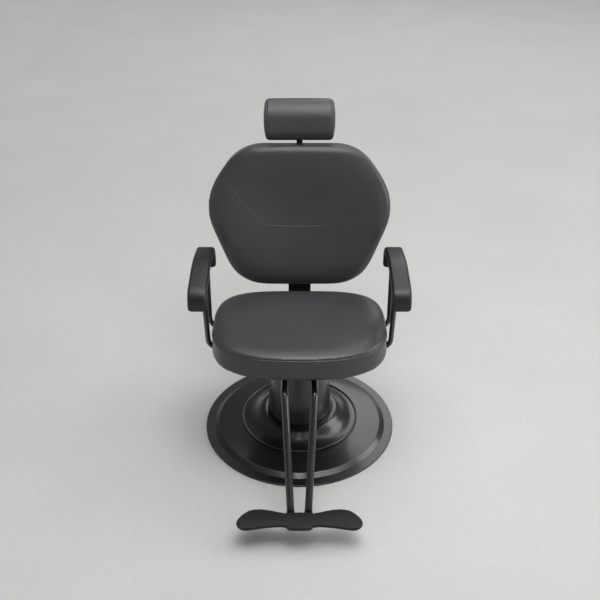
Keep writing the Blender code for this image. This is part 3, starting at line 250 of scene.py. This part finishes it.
lamps = {
    "front panel": {"kind": "SUN", "place": (0.4, -0.9, 2.7), "soft": 44, "power": 0.42},
    "top panel": {"kind": "SUN", "place": (0.3, 0.4, 2.8), "soft": 64, "power": 1.55},
    "top box": {"kind": "AREA", "place": (0.15, -0.45, 2.0), "soft": 0.9, "power": 10, "spread": 180},
    "side box": {"kind": "AREA", "place": (3.6, -0.7, 1.4), "soft": 1.7, "power": 13, "spread": 100},
    "key box": {"kind": "AREA", "place": (4.2, 1.3, 3.4), "soft": 2.2, "power": 54, "spread": 180},
    "rear wash": {"kind": "AREA", "place": (1.5, 5.5, 4.2), "soft": 3.0, "power": 56, "spread": 180},
    "low panel": {"kind": "AREA", "place": (1.6, -2.9, 1.0), "soft": 1.3, "power": 1.2, "spread": 100},
    "fill": {"kind": "AREA", "place": (-3.2, -0.3, 1.3), "soft": 1.4, "power": 1.4, "spread": 100},
}
studio = {"aim": (0, 0, 0.5), "air": "#d8d8d8", "strength": 0.2}
for name, lamp in lamps.items():
    data = bpy.data.lights.new(name, lamp["kind"])
    data.energy = lamp["power"]
    if lamp["kind"] == "SUN":
        data.angle = math.radians(lamp["soft"])
    else:
        data.size = lamp["soft"]
        data.spread = math.radians(lamp["spread"])
    light = bpy.data.objects.new(name, data)
    light.location = lamp["place"]
    light.rotation_euler = (Vector(studio["aim"]) - Vector(lamp["place"])).to_track_quat("-Z", "Y").to_euler()
    light.visible_camera = False
    scene.collection.objects.link(light)
world = bpy.data.worlds.new("studio")
world.use_nodes = True
air = world.node_tree.nodes["Background"].inputs
air["Color"].default_value = hexColour(studio["air"])
air["Strength"].default_value = studio["strength"]
scene.world = world
print("camera, floor and lamps placed")


# Materials, each from real sizes in metres

finishes = {}


def coat(name, dark, light, roughness, peel):  # a sprayed or moulded skin with a fine peel
    material, tree, shader, place = startMaterial(name, roughness)
    tone = mixTone(tree, noise(tree, place, 14, 5), dark, light)
    # convex edges are painted lighter, as a painted highlight along the edges
    edge = addNode(tree, "ShaderNodeNewGeometry").outputs["Pointiness"]
    paintedEdgeHighlight = mapped(tree, edge, {"From Min": 0.53, "From Max": 0.66, "To Max": 0.3})
    smear = noise(tree, place, 45, 4)
    sheen = mapped(tree, smear, {"To Min": roughness - 0.05, "To Max": roughness + 0.07})
    bump = bumped(tree, noise(tree, place, 1 / peel, 2), 0.25, peel * 0.06)
    feed(tree, shader, mixTone(tree, paintedEdgeHighlight, tone, "#4a4a4c"), bump, sheen)
    return material


def bareMetal(name, dark, light, roughness, grain):  # plain metal with drawn or ground lines
    material, tree, shader, place = startMaterial(name, roughness, 1.0)
    drawn = addNode(tree, "ShaderNodeMapping", {"Scale": (1, 1, 0.06)}, {"Vector": place}).outputs[0]
    lines = noise(tree, drawn, 1 / grain, 4)
    rub = mapped(tree, lines, {"To Min": roughness - 0.06, "To Max": roughness + 0.1})
    feed(tree, shader, mixTone(tree, lines, dark, light), bumped(tree, lines, 0.15, grain * 0.1), rub)
    return material


# Powder coat on steel: soft black with an orange peel of about 1.2 mm
finishes["coated_steel"] = coat("satin powder coat", "#141416", "#1b1b1d", 0.3, 0.0012)
lacquer = finishes["coated_steel"].node_tree.nodes["Principled BSDF"].inputs
lacquer["Coat Weight"].default_value = 0.6
lacquer["Coat Roughness"].default_value = 0.14
# Moulded nylon: fine spark grain of about 0.5 mm
finishes["plastic"] = coat("moulded nylon", "#18181a", "#202022", 0.45, 0.0005)
# Rubber: matt, with a faint bloom
finishes["rubber"] = coat("black rubber", "#151516", "#1f1f20", 0.7, 0.0008)
# Zinc-plated steel of bolts and pins: grey with drawn lines of about 0.3 mm
finishes["steel"] = bareMetal("zinc plated steel", "#8a8c90", "#a9abae", 0.38, 0.0003)
# Hard chrome of ram and rod: bright, with the faintest grinding
finishes["polished_steel"] = bareMetal("ground hard chrome", "#b4b6b9", "#c6c8ca", 0.14, 0.0002)
# Sintered bronze of the bearing: warm and dull, grain of about 0.4 mm
finishes["bronze"] = bareMetal("sintered bronze", "#7d6238", "#967846", 0.45, 0.0004)

# Casting of the footrest plate: black coat over a fine crossed hatch that grips a shoe
material, tree, shader, place = startMaterial("coated aluminium casting", 0.46)
shader.inputs["Specular IOR Level"].default_value = 0.35
hatch = []
for turn in (40, -40):  # ridges 4 mm apart both ways
    turned = addNode(tree, "ShaderNodeMapping", {"Rotation": (0, 0, math.radians(turn))}, {"Vector": place})
    hatch.append(waves(tree, turned.outputs[0], 0.004, {"Distortion": 0}))
crossed = addNode(tree, "ShaderNodeMath", {"operation": "MAXIMUM"}, {0: hatch[0], 1: hatch[1]}).outputs[0]
feed(tree, shader, mixTone(tree, noise(tree, place, 20, 5), "#121214", "#1a1a1c"), bumped(tree, crossed, 0.8, 0.0008))
finishes["aluminium"] = material

# Birch plywood under black stain: long grain still shows, glue lines every 3 mm
material, tree, shader, place = startMaterial("stained plywood", 0.62)
drawn = addNode(tree, "ShaderNodeMapping", {"Scale": (1, 14, 14)}, {"Vector": place}).outputs[0]
wood = {"Scale": 9, "Detail": 7, "Distortion": 0.4}
fibre = addNode(tree, "ShaderNodeTexNoise", wood, {"Vector": drawn}).outputs[0]
plies = waves(tree, place, 0.003, {"bands_direction": "Z", "Distortion": 0.3})
glue = mapped(tree, plies, {"From Min": 0.75, "From Max": 0.95, "To Max": 0.5})
layered = mixTone(tree, glue, mixTone(tree, fibre, "#221d1a", "#322a25"), "#15110f")
feed(tree, shader, layered, bumped(tree, fibre, 0.2, 0.0004))
finishes["plywood"] = material

# Coated cloth of the cushions: pebble grain of about 1.3 mm and slow soft waves
material, tree, shader, place = startMaterial("graphite leatherette", 0.36)
cloud = noise(tree, place, 7, 6)
pebble = {"feature": "SMOOTH_F1", "Scale": 1 / 0.0013, "Smoothness": 0.6}
pebbles = addNode(tree, "ShaderNodeTexVoronoi", pebble, {"Vector": place}).outputs["Distance"]
# the valleys between the pebbles are painted darker: painted shade in the grain's recesses
paintedValleyShade = mapped(tree, pebbles, {"From Min": 0.3, "From Max": 0.75, "To Max": 0.35})
grainAndValleyShade = mixTone(tree, paintedValleyShade, mixTone(tree, cloud, "#39393b", "#434345"), "#2c2c2e")
soft = bumped(tree, noise(tree, place, 22, 2), 0.35, 0.002)
bump = bumped(tree, pebbles, 0.3, 0.00025, soft, invert=True)
feed(tree, shader, grainAndValleyShade, bump, mapped(tree, cloud, {"To Min": 0.31, "To Max": 0.41}))
finishes["upholstery"] = material

# Integral-skin foam of the arm pads: satin, with fine ribs 2.4 mm apart along the top
material, tree, shader, place = startMaterial("integral skin foam", 0.4)
outward = addNode(tree, "ShaderNodeNewGeometry").outputs["Normal"]
upward = addNode(tree, "ShaderNodeSeparateXYZ", {}, {0: outward}).outputs["Z"]
onTop = mapped(tree, upward, {"From Min": 0.6, "From Max": 0.9})
ribs = waves(tree, place, 0.0024, {"Distortion": 0.2})
ribbed = addNode(tree, "ShaderNodeMath", {"operation": "MULTIPLY"}, {0: ribs, 1: onTop}).outputs[0]
fine = bumped(tree, noise(tree, place, 1 / 0.0008, 3), 0.2, 0.0001)
tone = mixTone(tree, noise(tree, place, 18, 5), "#161618", "#1e1e20")
feed(tree, shader, tone, bumped(tree, ribbed, 0.35, 0.0003, fine))
finishes["moulded_foam"] = material

# Sewing thread: bonded polyester, a shade darker than the cover, twisted every 0.6 mm
thread, tree, shader, place = startMaterial("bonded thread", 0.55)
twist = waves(tree, place, 0.0006, {"bands_direction": "DIAGONAL"})
feed(tree, shader, mixTone(tree, twist, "#232325", "#353537"), bumped(tree, twist, 0.4, 0.0001))
print("materials made")

# Soft pieces

seatFrame = Matrix.Translation((0, 0, 0.3763)) @ Matrix.Rotation(math.radians(-3.25), 4, "X")
backFrame = Matrix.Translation((0, 0.246, 0.36)) @ Matrix.Rotation(math.radians(-13), 4, "X")
headFrame = Matrix.Translation((0, 0.39461, 0.9659)) @ Matrix.Rotation(math.radians(-13), 4, "X")


def cushion(outline, band, crown, place):  # closed cushion with a pocket for its board
    skirt, pocket, swell = 0.0105, 0.013, 0.12  # metres, and a share of the crown
    layers = [(skirt, pocket), (skirt, 0.0), (0.004, 0.0), (0.0005, 0.005), (-0.0015, band * 0.5)]
    layers += [(0.0005, band * 0.9), (0.003, band)]
    roll = [(0.0006, 0.15), (0.0012, 0.3), (0.0045, 0.46), (0.0105, 0.6), (0.02, 0.73), (0.034, 0.84), (0.053, 0.92)]
    layers += [(distance, band + crown * share) for distance, share in roll]
    rings = [[place(p.x, p.y, height) for p in inset(outline, distance)] for distance, height in layers]
    edge = inset(outline, layers[-1][0])
    middle = sum(edge, Vector((0, 0))) / len(edge)
    for share in (0.9, 0.8, 0.7, 0.6, 0.5, 0.4, 0.3, 0.2, 0.1):
        row = [middle.lerp(p, share) for p in edge]
        height = layers[-1][1] + swell * crown * (1 - share**2)
        rings.append([place(p.x, p.y, height) for p in row])
    return skin(rings)


def remesh(piece, voxel):
    step = piece.modifiers.new("even skin", "REMESH")
    step.mode = "VOXEL"
    step.voxel_size = voxel
    settle(piece)


def relax(piece, rounds):  # a few rounds of smoothing
    bm = bmesh.new()
    bm.from_mesh(piece.data)
    for step in range(rounds):
        bmesh.ops.smooth_vert(bm, verts=bm.verts, factor=0.5, use_axis_x=True, use_axis_y=True, use_axis_z=True)
    bm.to_mesh(piece.data)
    bm.free()


fabric = {"stretch": 30, "bend": 10, "tight": 0.02, "frames": 20}  # tight: how much too small the cover is cut


def inflate(piece, held, pressure, cap):  # foam pushes the cover out between its seams
    start = [v.co.copy() for v in piece.data.vertices]
    group = piece.vertex_groups.new(name="held")
    group.add([v.index for v in piece.data.vertices if held(v.co)], 1.0, "REPLACE")
    cloth = piece.modifiers.new("cloth", "CLOTH")
    cloth.settings.vertex_group_mass = "held"
    cloth.settings.use_pressure = True
    cloth.settings.uniform_pressure_force = pressure
    cloth.settings.effector_weights.gravity = 0
    cloth.settings.tension_stiffness = fabric["stretch"]
    cloth.settings.compression_stiffness = fabric["stretch"]
    cloth.settings.bending_stiffness = fabric["bend"]
    cloth.settings.shrink_min = fabric["tight"]
    cloth.point_cache.frame_end = fabric["frames"]
    for step in range(1, fabric["frames"] + 1):
        scene.frame_set(step)
    settle(piece)
    scene.frame_set(1)
    piece.vertex_groups.clear()
    for v, place in zip(piece.data.vertices, start):
        move = v.co - place
        if move.length > cap:
            v.co = place + move * (cap / move.length)


def refine(piece):
    piece.modifiers.new("fine skin", "SUBSURF").levels = 1
    settle(piece)
    piece.data.shade_smooth()


def divideNear(piece, near):  # more points along a seam, so its groove comes out crisp
    bm = bmesh.new()
    bm.from_mesh(piece.data)
    edges = [e for e in bm.edges if near(e.verts[0].co) and near(e.verts[1].co)]
    bmesh.ops.subdivide_edges(bm, edges=edges, cuts=1, use_grid_fill=True)
    bm.to_mesh(piece.data)
    bm.free()
    piece.data.shade_smooth()


def press(piece, depthAt):  # moves the skin inwards by the depth at each point
    moves = [(v, v.normal * depthAt(v.co)) for v in piece.data.vertices]
    for v, move in moves:
        v.co -= move


foam = {"gap": 0.0006, "reach": 0.02, "step": 0.0006, "tries": 40}


def keepClear(piece, names):  # the foam gives way round the hard parts it meets
    points = []
    faces = []
    for name in names:
        mesh = nodes[name].data
        faces += [[len(points) + k for k in p.vertices] for p in mesh.polygons]
        points += [v.co for v in mesh.vertices]
    hard = BVHTree.FromPolygons(points, faces)
    normals = [v.normal.copy() for v in piece.data.vertices]
    for v, normal in zip(piece.data.vertices, normals):
        for step in range(foam["tries"]):
            spot, face, index, distance = hard.find_nearest(v.co, foam["reach"])
            if spot is None or (distance > foam["gap"] and (v.co - spot).dot(face) > 0):
                break
            v.co -= normal * foam["step"]


def finishSoft(piece, body, slotName, fill, *replaced):
    piece.data.materials.clear()
    piece.data.materials.append(finishes[slotName])
    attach(piece, body)
    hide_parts(*replaced)


stitch = {"long": 0.0034, "gap": 0.0012, "thick": 0.0007, "sides": 5, "beside": 0.0045}


def surfaceOf(piece):
    return BVHTree.FromPolygons([v.co for v in piece.data.vertices], [p.vertices for p in piece.data.polygons])


def sew(name, piece, body, rows):  # stitches laid on a piece along rows of points
    cover = surfaceOf(piece)
    bm = bmesh.new()
    pitch = stitch["long"] + stitch["gap"]
    radius = stitch["thick"] / 2
    for row in rows:
        gaps = [(b - a).length for a, b in zip(row, row[1:])]
        marks = [sum(gaps[:k]) for k in range(len(row))]
        index = 0
        for number in range(int(marks[-1] / pitch)):
            rings = []
            for share, lift in ((0, -0.8), (0.2, 0.25), (0.8, 0.25), (1, -0.8)):
                want = number * pitch + share * stitch["long"]
                while marks[index + 1] < want:
                    index += 1
                inside = (want - marks[index]) / gaps[index]
                along = (row[index + 1] - row[index]).normalized()
                spot, normal = cover.find_nearest(row[index].lerp(row[index + 1], inside))[:2]
                side = along.cross(normal).normalized()
                ring = []
                for turn in circle(stitch["sides"]):
                    out = normal * (lift + math.sin(turn)) + side * math.cos(turn)
                    ring.append(bm.verts.new(spot + out * radius))
                rings.append(ring)
            for a, b in zip(rings, rings[1:]):
                for k in range(stitch["sides"]):
                    bm.faces.new((a[k - 1], a[k], b[k], b[k - 1]))
    bmesh.ops.recalc_face_normals(bm, faces=bm.faces)
    mesh = toMesh(bm, name)
    mesh.shade_smooth()
    mesh.materials.append(thread)
    rowPiece = newPiece(name, mesh)
    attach(rowPiece, body)


def bell(distance, width):
    return math.exp(-(distance / width) ** 2)


# Seat cushion
seat = {"half": 0.2748, "centre": -0.085, "front": (0.2098, 2.7), "rear": (0.2312, 3.7), "band": 0.072, "crown": 0.021,
        "voxel": 0.006, "pressure": 3, "cap": 0.003, "seam": 0.0024}
outline = []
for k in range(720):
    turn = math.radians(k / 2)
    length, power = seat["front"] if turn > math.pi else seat["rear"]
    reach = abs(math.cos(turn) / seat["half"]) ** power + abs(math.sin(turn) / length) ** power
    reach = reach ** (-1 / power)
    outline.append(Vector((reach * math.cos(turn), seat["centre"] + reach * math.sin(turn))))
outline = evenly(outline, 240)
toSeat = seatFrame.inverted()


def seatPlace(x, y, height):
    return seatFrame @ Vector((x, y, height))


seatPiece = newPiece("seat_cover", cushion(outline, seat["band"], seat["crown"], seatPlace))
remesh(seatPiece, seat["voxel"])
relax(seatPiece, 3)


def seatHeld(point):
    height = (toSeat @ point).z
    return height < 0.016 or abs(height - seat["band"]) < 0.004


inflate(seatPiece, seatHeld, seat["pressure"], seat["cap"])
relax(seatPiece, 5)
refine(seatPiece)
divideNear(seatPiece, lambda point: abs((toSeat @ point).z - seat["band"]) < 0.006)
press(seatPiece, lambda point: seat["seam"] * bell((toSeat @ point).z - seat["band"], 0.0016))
keepClear(seatPiece, ["seat_board", "arm_frame_left", "arm_frame_right", "seat_bracket"])
finishSoft(seatPiece, "seat", "upholstery", 0.85, "seat_cushion")
loop = outline + outline[:1]
sew("seat_stitches", seatPiece, "seat", [[seatPlace(p.x, p.y, seat["band"] - stitch["beside"]) for p in loop]])
print("seat cushion made,", len(seatPiece.data.vertices), "points")

# Back cushion
back = {"low": 0.0698, "rear": -0.0106, "band": 0.0784, "crown": 0.026, "voxel": 0.006, "pressure": 3, "cap": 0.003,
        "seam": 0.0024, "smile": (0.207, 0.156, 0.245, 3.4), "smileDepth": 0.0009, "dish": 0.042, "step": 0.002,
        "thin": 0.2, "thinHeight": 0.17, "hollow": (0.29, 0.24, 0.236), "twin": 0.0042, "twinHalf": 0.252}
corners = [(0.2065, 0), (0.3274, 0.2905), (0.1985, 0.476)]
corners += [(-x, s) for x, s in corners[::-1]]
radii = [0.137, 0.18, 0.15, 0.15, 0.18, 0.137]
backOutline = evenly(roundCorners(corners, radii, 20), 240)


def thickAt(s):  # the back thins towards its foot
    return 1 - back["thin"] * max(0, 1 - s / back["thinHeight"]) ** 2


def backPlace(x, s, forward):
    return backFrame @ Vector((x, back["rear"] - forward * thickAt(s), back["low"] + s))


backPiece = newPiece("back_pad", cushion(backOutline, back["band"], back["crown"], backPlace))
toBack = backFrame.inverted()
remesh(backPiece, back["voxel"])
relax(backPiece, 3)


def backSpot(point):  # across, up from the foot, and forward from the rear face
    spot = toBack @ point
    s = spot.z - back["low"]
    return spot.x, s, (back["rear"] - spot.y) / thickAt(s)


def backHeld(point):
    forward = backSpot(point)[2]
    return forward < 0.016 or abs(forward - back["band"]) < 0.004


def smileAt(x):  # how high the smile seam lies, and its slope
    low, rise, half, power = back["smile"]
    share = abs(x) / half
    slope = rise * power * share ** (power - 1) / half
    return low + rise * share**power, math.copysign(slope, x)


def smileDistance(x, s):
    height, slope = smileAt(x)
    return (s - height) / math.hypot(1, slope)


def ease(value, start, end):  # smooth 0 to 1 between two values
    share = min(1, max(0, (value - start) / (end - start)))
    return share * share * (3 - 2 * share)


def dishAt(x, s):  # the back is hollowed between its sides
    halfWide, middle, halfTall = back["hollow"]
    across = max(0, 1 - (x / halfWide) ** 2) ** 2
    up = max(0, 1 - ((s - middle) / halfTall) ** 2) ** 2
    return back["dish"] * across * up


def backDish(point):
    x, s, forward = backSpot(point)
    return dishAt(x, s) * ease(forward, back["band"], back["band"] + 0.008)


def backSeams(point):
    x, s, forward = backSpot(point)
    depth = back["seam"] * bell(forward + dishAt(x, s) - back["band"], 0.0016)
    above = smileDistance(x, s)
    # the smile seam fades out in the roll, and the panel above it lies a little deeper
    shown = ease(abs(x), 0.27, 0.245) * ease(forward + dishAt(x, s), back["band"] + 0.004, back["band"] + 0.014)
    lower = ease(above, -0.006, 0.02) * bell(max(0, above - 0.02), 0.09)
    return depth + shown * (back["smileDepth"] * bell(above, 0.0018) + back["step"] * lower)


inflate(backPiece, backHeld, back["pressure"], back["cap"])
relax(backPiece, 5)
press(backPiece, backDish)
relax(backPiece, 3)
refine(backPiece)


def nearBackSeam(point):
    x, s, forward = backSpot(point)
    onSmile = forward > back["band"] - 0.03 and abs(smileDistance(x, s)) < 0.008 and abs(x) < 0.262
    return onSmile or abs(forward + dishAt(x, s) - back["band"]) < 0.006


divideNear(backPiece, nearBackSeam)
press(backPiece, backSeams)
keepClear(backPiece, ["back_board"])
finishSoft(backPiece, "backrest", "upholstery", 0.85, "back_cushion")
cover = surfaceOf(backPiece)
inward = backFrame.to_3x3() @ Vector((0, 1, 0))
rows = [[backPlace(p.x, p.y, back["band"] - stitch["beside"]) for p in backOutline + backOutline[:1]]]
for beside in (-back["twin"], back["twin"]):  # twin rows along the smile
    row = []
    for k in range(-60, 61):
        x = back["twinHalf"] * k / 60
        height, slope = smileAt(x)
        aside = Vector((-slope, 1)).normalized() * beside
        start = Vector((x + aside.x, back["rear"] - 0.2, back["low"] + height + aside.y))  # well in front
        row.append(cover.ray_cast(backFrame @ start, inward)[0])
    rows.append([spot for spot in row if spot])
sew("back_stitches", backPiece, "backrest", rows)
print("back cushion made,", len(backPiece.data.vertices), "points")

# Headrest cushion: a barrel with flat ends
headrest = {"width": 0.231, "height": 0.137, "thick": 0.076, "rear": -0.0335, "corner": 0.021, "shoulder": 0.014,
            "voxel": 0.0045, "pressure": 3, "cap": 0.004, "seam": 0.0016, "seamIn": 0.011, "bulge": 0.02,
            "axis": 0.42, "square": 0.25, "points": 96}  # axis: the widest place, as a share of the thickness


def headRing(x, shrink=1.0):  # one slice across the barrel, flatter behind than in front
    reach = abs(x) - headrest["width"] / 2
    corner = max(0, reach + headrest["corner"]) / headrest["corner"]
    shoulder = max(0, reach + headrest["shoulder"]) / headrest["shoulder"]
    tall = headrest["height"] / 2 - headrest["corner"] * (1 - math.sqrt(max(0, 1 - corner**2)))
    thick = headrest["thick"] - headrest["shoulder"] * (1 - math.sqrt(max(0, 1 - shoulder**2)))
    ring = []
    for turn in circle(headrest["points"]):
        out = math.cos(turn)
        s = tall * shrink * math.sin(turn)
        depth = (1 - headrest["axis"]) * out if out > 0 else -headrest["axis"] * abs(out) ** headrest["square"]
        h = thick * (headrest["axis"] + shrink * depth)
        bulge = 1 + headrest["bulge"] * (1 - (s / tall) ** 2)
        ring.append(headFrame @ Vector((x * bulge, headrest["rear"] - h, s)))
    return ring


rings = [headRing(-headrest["width"] / 2, shrink) for shrink in (0.2, 0.5, 0.8)]
for k in range(-24, 25):
    share = k / 24
    rings.append(headRing(headrest["width"] / 2 * math.copysign(1 - (1 - abs(share)) ** 1.8, share)))
rings += [headRing(headrest["width"] / 2, shrink) for shrink in (0.8, 0.5, 0.2)]
headPiece = newPiece("headrest_pad", skin(rings))
toHead = headFrame.inverted()
remesh(headPiece, headrest["voxel"])
relax(headPiece, 4)


def pastHeadSeam(point):  # how far out from the nearer seam
    return abs((toHead @ point).x) - headrest["width"] / 2 + headrest["seamIn"]


def headHeld(point):
    return abs(pastHeadSeam(point)) < 0.003 or headrest["rear"] - (toHead @ point).y < 0.013


inflate(headPiece, headHeld, headrest["pressure"], headrest["cap"])
relax(headPiece, 3)
refine(headPiece)
divideNear(headPiece, lambda point: abs(pastHeadSeam(point)) < 0.006)
press(headPiece, lambda point: headrest["seam"] * bell(pastHeadSeam(point), 0.0017))
keepClear(headPiece, ["headrest_board", "headrest_bracket"])
finishSoft(headPiece, "headrest", "upholstery", 0.8, "headrest_cushion")
rows = []
for side in (-1, 1):
    ring = headRing(side * (headrest["width"] / 2 - headrest["seamIn"] - stitch["beside"]))
    rows.append(ring + ring[:1])
sew("headrest_stitches", headPiece, "headrest", rows)
print("headrest cushion made,", len(headPiece.data.vertices), "points")

# Rear cover of the back: a thin padded panel with a rolled edge
rear = {"front": -0.0103, "inset": 0.0035, "hem": 0.0085, "thick": 0.006}
roll = [(0.012, 0.0), (0.0012, 0.0), (0.0, 0.0012), (0.0, 0.0032), (0.0008, 0.005), (0.003, 0.0058)]


def rearRow(distance, depth):  # points this far in from the edge and this far back
    points = inset(inset(backOutline, rear["inset"]), distance)
    return [backFrame @ Vector((p.x, rear["front"] + depth, back["low"] + p.y)) for p in points]


coverPiece = newPiece("rear_cover", skin([rearRow(*spot) for spot in roll + [(0.008, rear["thick"])]]))
coverPiece.data.shade_smooth()
finishSoft(coverPiece, "backrest", "upholstery", 0.9, "back_cover")
hem = rearRow(rear["hem"], rear["thick"])
sew("rear_stitches", coverPiece, "backrest", [hem + hem[:1]])
print("rear cover made")

# Arm pads
pad = {"x": 0.3005, "width": 0.057, "thick": 0.026, "corner": 0.009, "apex": (-0.04, 0.654), "slopes": (9.0, 9.6),
       "ends": (-0.193, 0.104), "feet": (0.581, 0.565), "bend": 0.036, "arch": 0.35,
       "tip": ((0, 0.5), (0.0006, 0.7), (0.0018, 0.84), (0.0036, 0.93), (0.006, 0.98), (0.009, 1))}
apexY, apexZ = pad["apex"]
shoulders = [apexZ - math.tan(math.radians(slope)) * abs(y - apexY) for slope, y in zip(pad["slopes"], pad["ends"])]
path = bendPath([(pad["ends"][0], pad["feet"][0]), (pad["ends"][0], shoulders[0]), (apexY, apexZ),
                 (pad["ends"][1], shoulders[1]), (pad["ends"][1], pad["feet"][1])],
                [pad["bend"], pad["arch"], pad["bend"]], 14)
for near in (1, -1):  # more rings where the ends round off
    start = path[0] if near > 0 else path[-1]
    step = (path[near] - start if near > 0 else path[-2] - start).normalized()
    tips = [start + step * distance for distance, scale in pad["tip"]]
    path = tips + path[1:] if near > 0 else path[:-1] + tips[::-1]
half = (pad["width"] / 2, pad["thick"] / 2)
section = [(half[0], -half[1]), (half[0], half[1]), (-half[0], half[1]), (-half[0], -half[1])]
section = roundCorners(section, [pad["corner"]] * 4, 8)
for side, label in ((-1, "left"), (1, "right")):
    rings = []
    last = len(path) - 1
    for k, point in enumerate(path):
        along = (path[min(k + 1, last)] - path[max(k - 1, 0)]).normalized()
        across = Vector((-along.y, along.x))
        near = min(k, last - k)
        scale = pad["tip"][near][1] if near < len(pad["tip"]) else 1
        ring = []
        for p in section:
            spot = point + across * p.y * scale
            ring.append((side * pad["x"] + p.x * scale, spot.x, spot.y))
        rings.append(ring)
    padPiece = newPiece(f"arm_pad_skin_{label}", skin(rings))
    padPiece.data.shade_smooth()
    finishSoft(padPiece, "seat", "moulded_foam", 0.95, f"arm_pad_{label}")
print("arm pads made")

# The pressed edge of the dome is rolled into a thin bead
bead = {"round": 0.0034, "turns": 144, "sides": 10}
low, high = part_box("dome_cover")
reach = high[0] - 0.001
bm = bmesh.new()
rows = []
for turn in circle(bead["turns"]):
    row = []
    for tilt in circle(bead["sides"]):
        out = reach + bead["round"] * math.cos(tilt)
        rise = low[2] + bead["round"] * (1 + math.sin(tilt))
        row.append(bm.verts.new((out * math.cos(turn), out * math.sin(turn), rise)))
    rows.append(row)
for k in range(bead["turns"]):
    a, b = rows[k - 1], rows[k]
    for j in range(bead["sides"]):
        bm.faces.new((a[j - 1], b[j - 1], b[j], a[j]))
bmesh.ops.recalc_face_normals(bm, faces=bm.faces)
mesh = toMesh(bm, "dome_bead")
mesh.shade_smooth()
mesh.materials.append(finishes["coated_steel"])
beadPiece = newPiece("dome_bead", mesh)
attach(beadPiece, "base")
print("dome bead made")

# The pedal's return spring, which shortens as the pedal goes down, drawn as one fixed helix in the frame spring's box
spring = {"wire": 0.0011, "turns": 4, "steps": 24, "sides": 8, "flat": 0.4, "keep": 0.67}
low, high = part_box("pedal_spring")
middle = (Vector(low) + Vector(high)) / 2
reach = (high[0] - low[0]) / 2 - spring["wire"]
rise = high[2] - low[2] - 2 * spring["wire"]
active = spring["turns"] - 2 * spring["flat"]  # the end turns lie flat on their seats
rings = []
for k in range(spring["turns"] * spring["steps"] + 1):
    turns = k / spring["steps"]
    turn = 2 * math.pi * turns
    share = min(1, max(0, (turns - spring["flat"]) / active))
    out = Vector((math.cos(turn), math.sin(turn), 0))
    spot = Vector((middle.x, middle.y, low[2] + spring["wire"] + share * rise))
    ring = []
    for tilt in circle(spring["sides"]):
        lift = Vector((0, 0, spring["wire"] * math.sin(tilt)))
        ring.append(spot + out * (reach + spring["wire"] * math.cos(tilt)) + lift)
    rings.append(ring)
springPiece = newPiece("return_spring", skin(rings))
springPiece.data.shade_smooth()
springPiece.data.materials.append(finishes["polished_steel"])
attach(springPiece, "base")
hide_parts("pedal_spring")
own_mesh(springPiece)
print("return spring made")

# CAD nodes keep their mesh: a node group joins the facets and shades them by angle, a bevel softens the edges
smoothing = bpy.data.node_groups.new("shade by angle", "GeometryNodeTree")
smoothing.interface.new_socket("Geometry", in_out="INPUT", socket_type="NodeSocketGeometry")
limit = smoothing.interface.new_socket("Limit", in_out="INPUT", socket_type="NodeSocketFloat")
smoothing.interface.new_socket("Geometry", in_out="OUTPUT", socket_type="NodeSocketGeometry")
into = addNode(smoothing, "NodeGroupInput")
joined = addNode(smoothing, "GeometryNodeMergeByDistance", {"Distance": 0.00001}, {0: into.outputs[0]})
plain = addNode(smoothing, "GeometryNodeRemoveAttribute", {"Name": "custom_normal"}, {0: joined.outputs[0]})
rounded = addNode(smoothing, "GeometryNodeSetShadeSmooth", {}, {0: plain.outputs[0]})
angle = addNode(smoothing, "GeometryNodeInputMeshEdgeAngle")
steep = addNode(smoothing, "FunctionNodeCompare", {"operation": "GREATER_THAN"},
                {0: angle.outputs[0], 1: into.outputs[1]})
sharp = addNode(smoothing, "GeometryNodeSetShadeSmooth", {"domain": "EDGE", "Shade Smooth": False},
                {0: rounded.outputs[0], "Selection": steep.outputs[0]})
addNode(smoothing, "NodeGroupOutput", {}, {0: sharp.outputs[0]})

# Finely divided pieces, where smaller angles count as edges, the soft dome, and the cast rim of the footrest plate
kinds = {"base_plate": "turned", "base_cover": "turned", "column_cap": "turned",
         "dome_cover": "dome", "foot_plate": "cast"}
# Degrees, and the width of the bevel in metres
edges = {"turned": (13, 0.0014), "dome": (40, 0.0014), "cast": (34, 0.0024), "other": (34, 0.0007)}
for name, node in nodes.items():
    degrees, width = edges[kinds.get(name, "other")]
    for slot in node.material_slots:
        slot.material = finishes[slot.material.name.split(".")[0]]
    shading = node.modifiers.new("shade by angle", "NODES")
    shading.node_group = smoothing
    shading[limit.identifier] = math.radians(degrees)
    bevel = node.modifiers.new("soft edges", "BEVEL")
    bevel.width = width
    bevel.segments = 2
    bevel.limit_method = "ANGLE"
    bevel.angle_limit = math.radians(degrees + 1)
    bevel.harden_normals = True
print("frame finished")
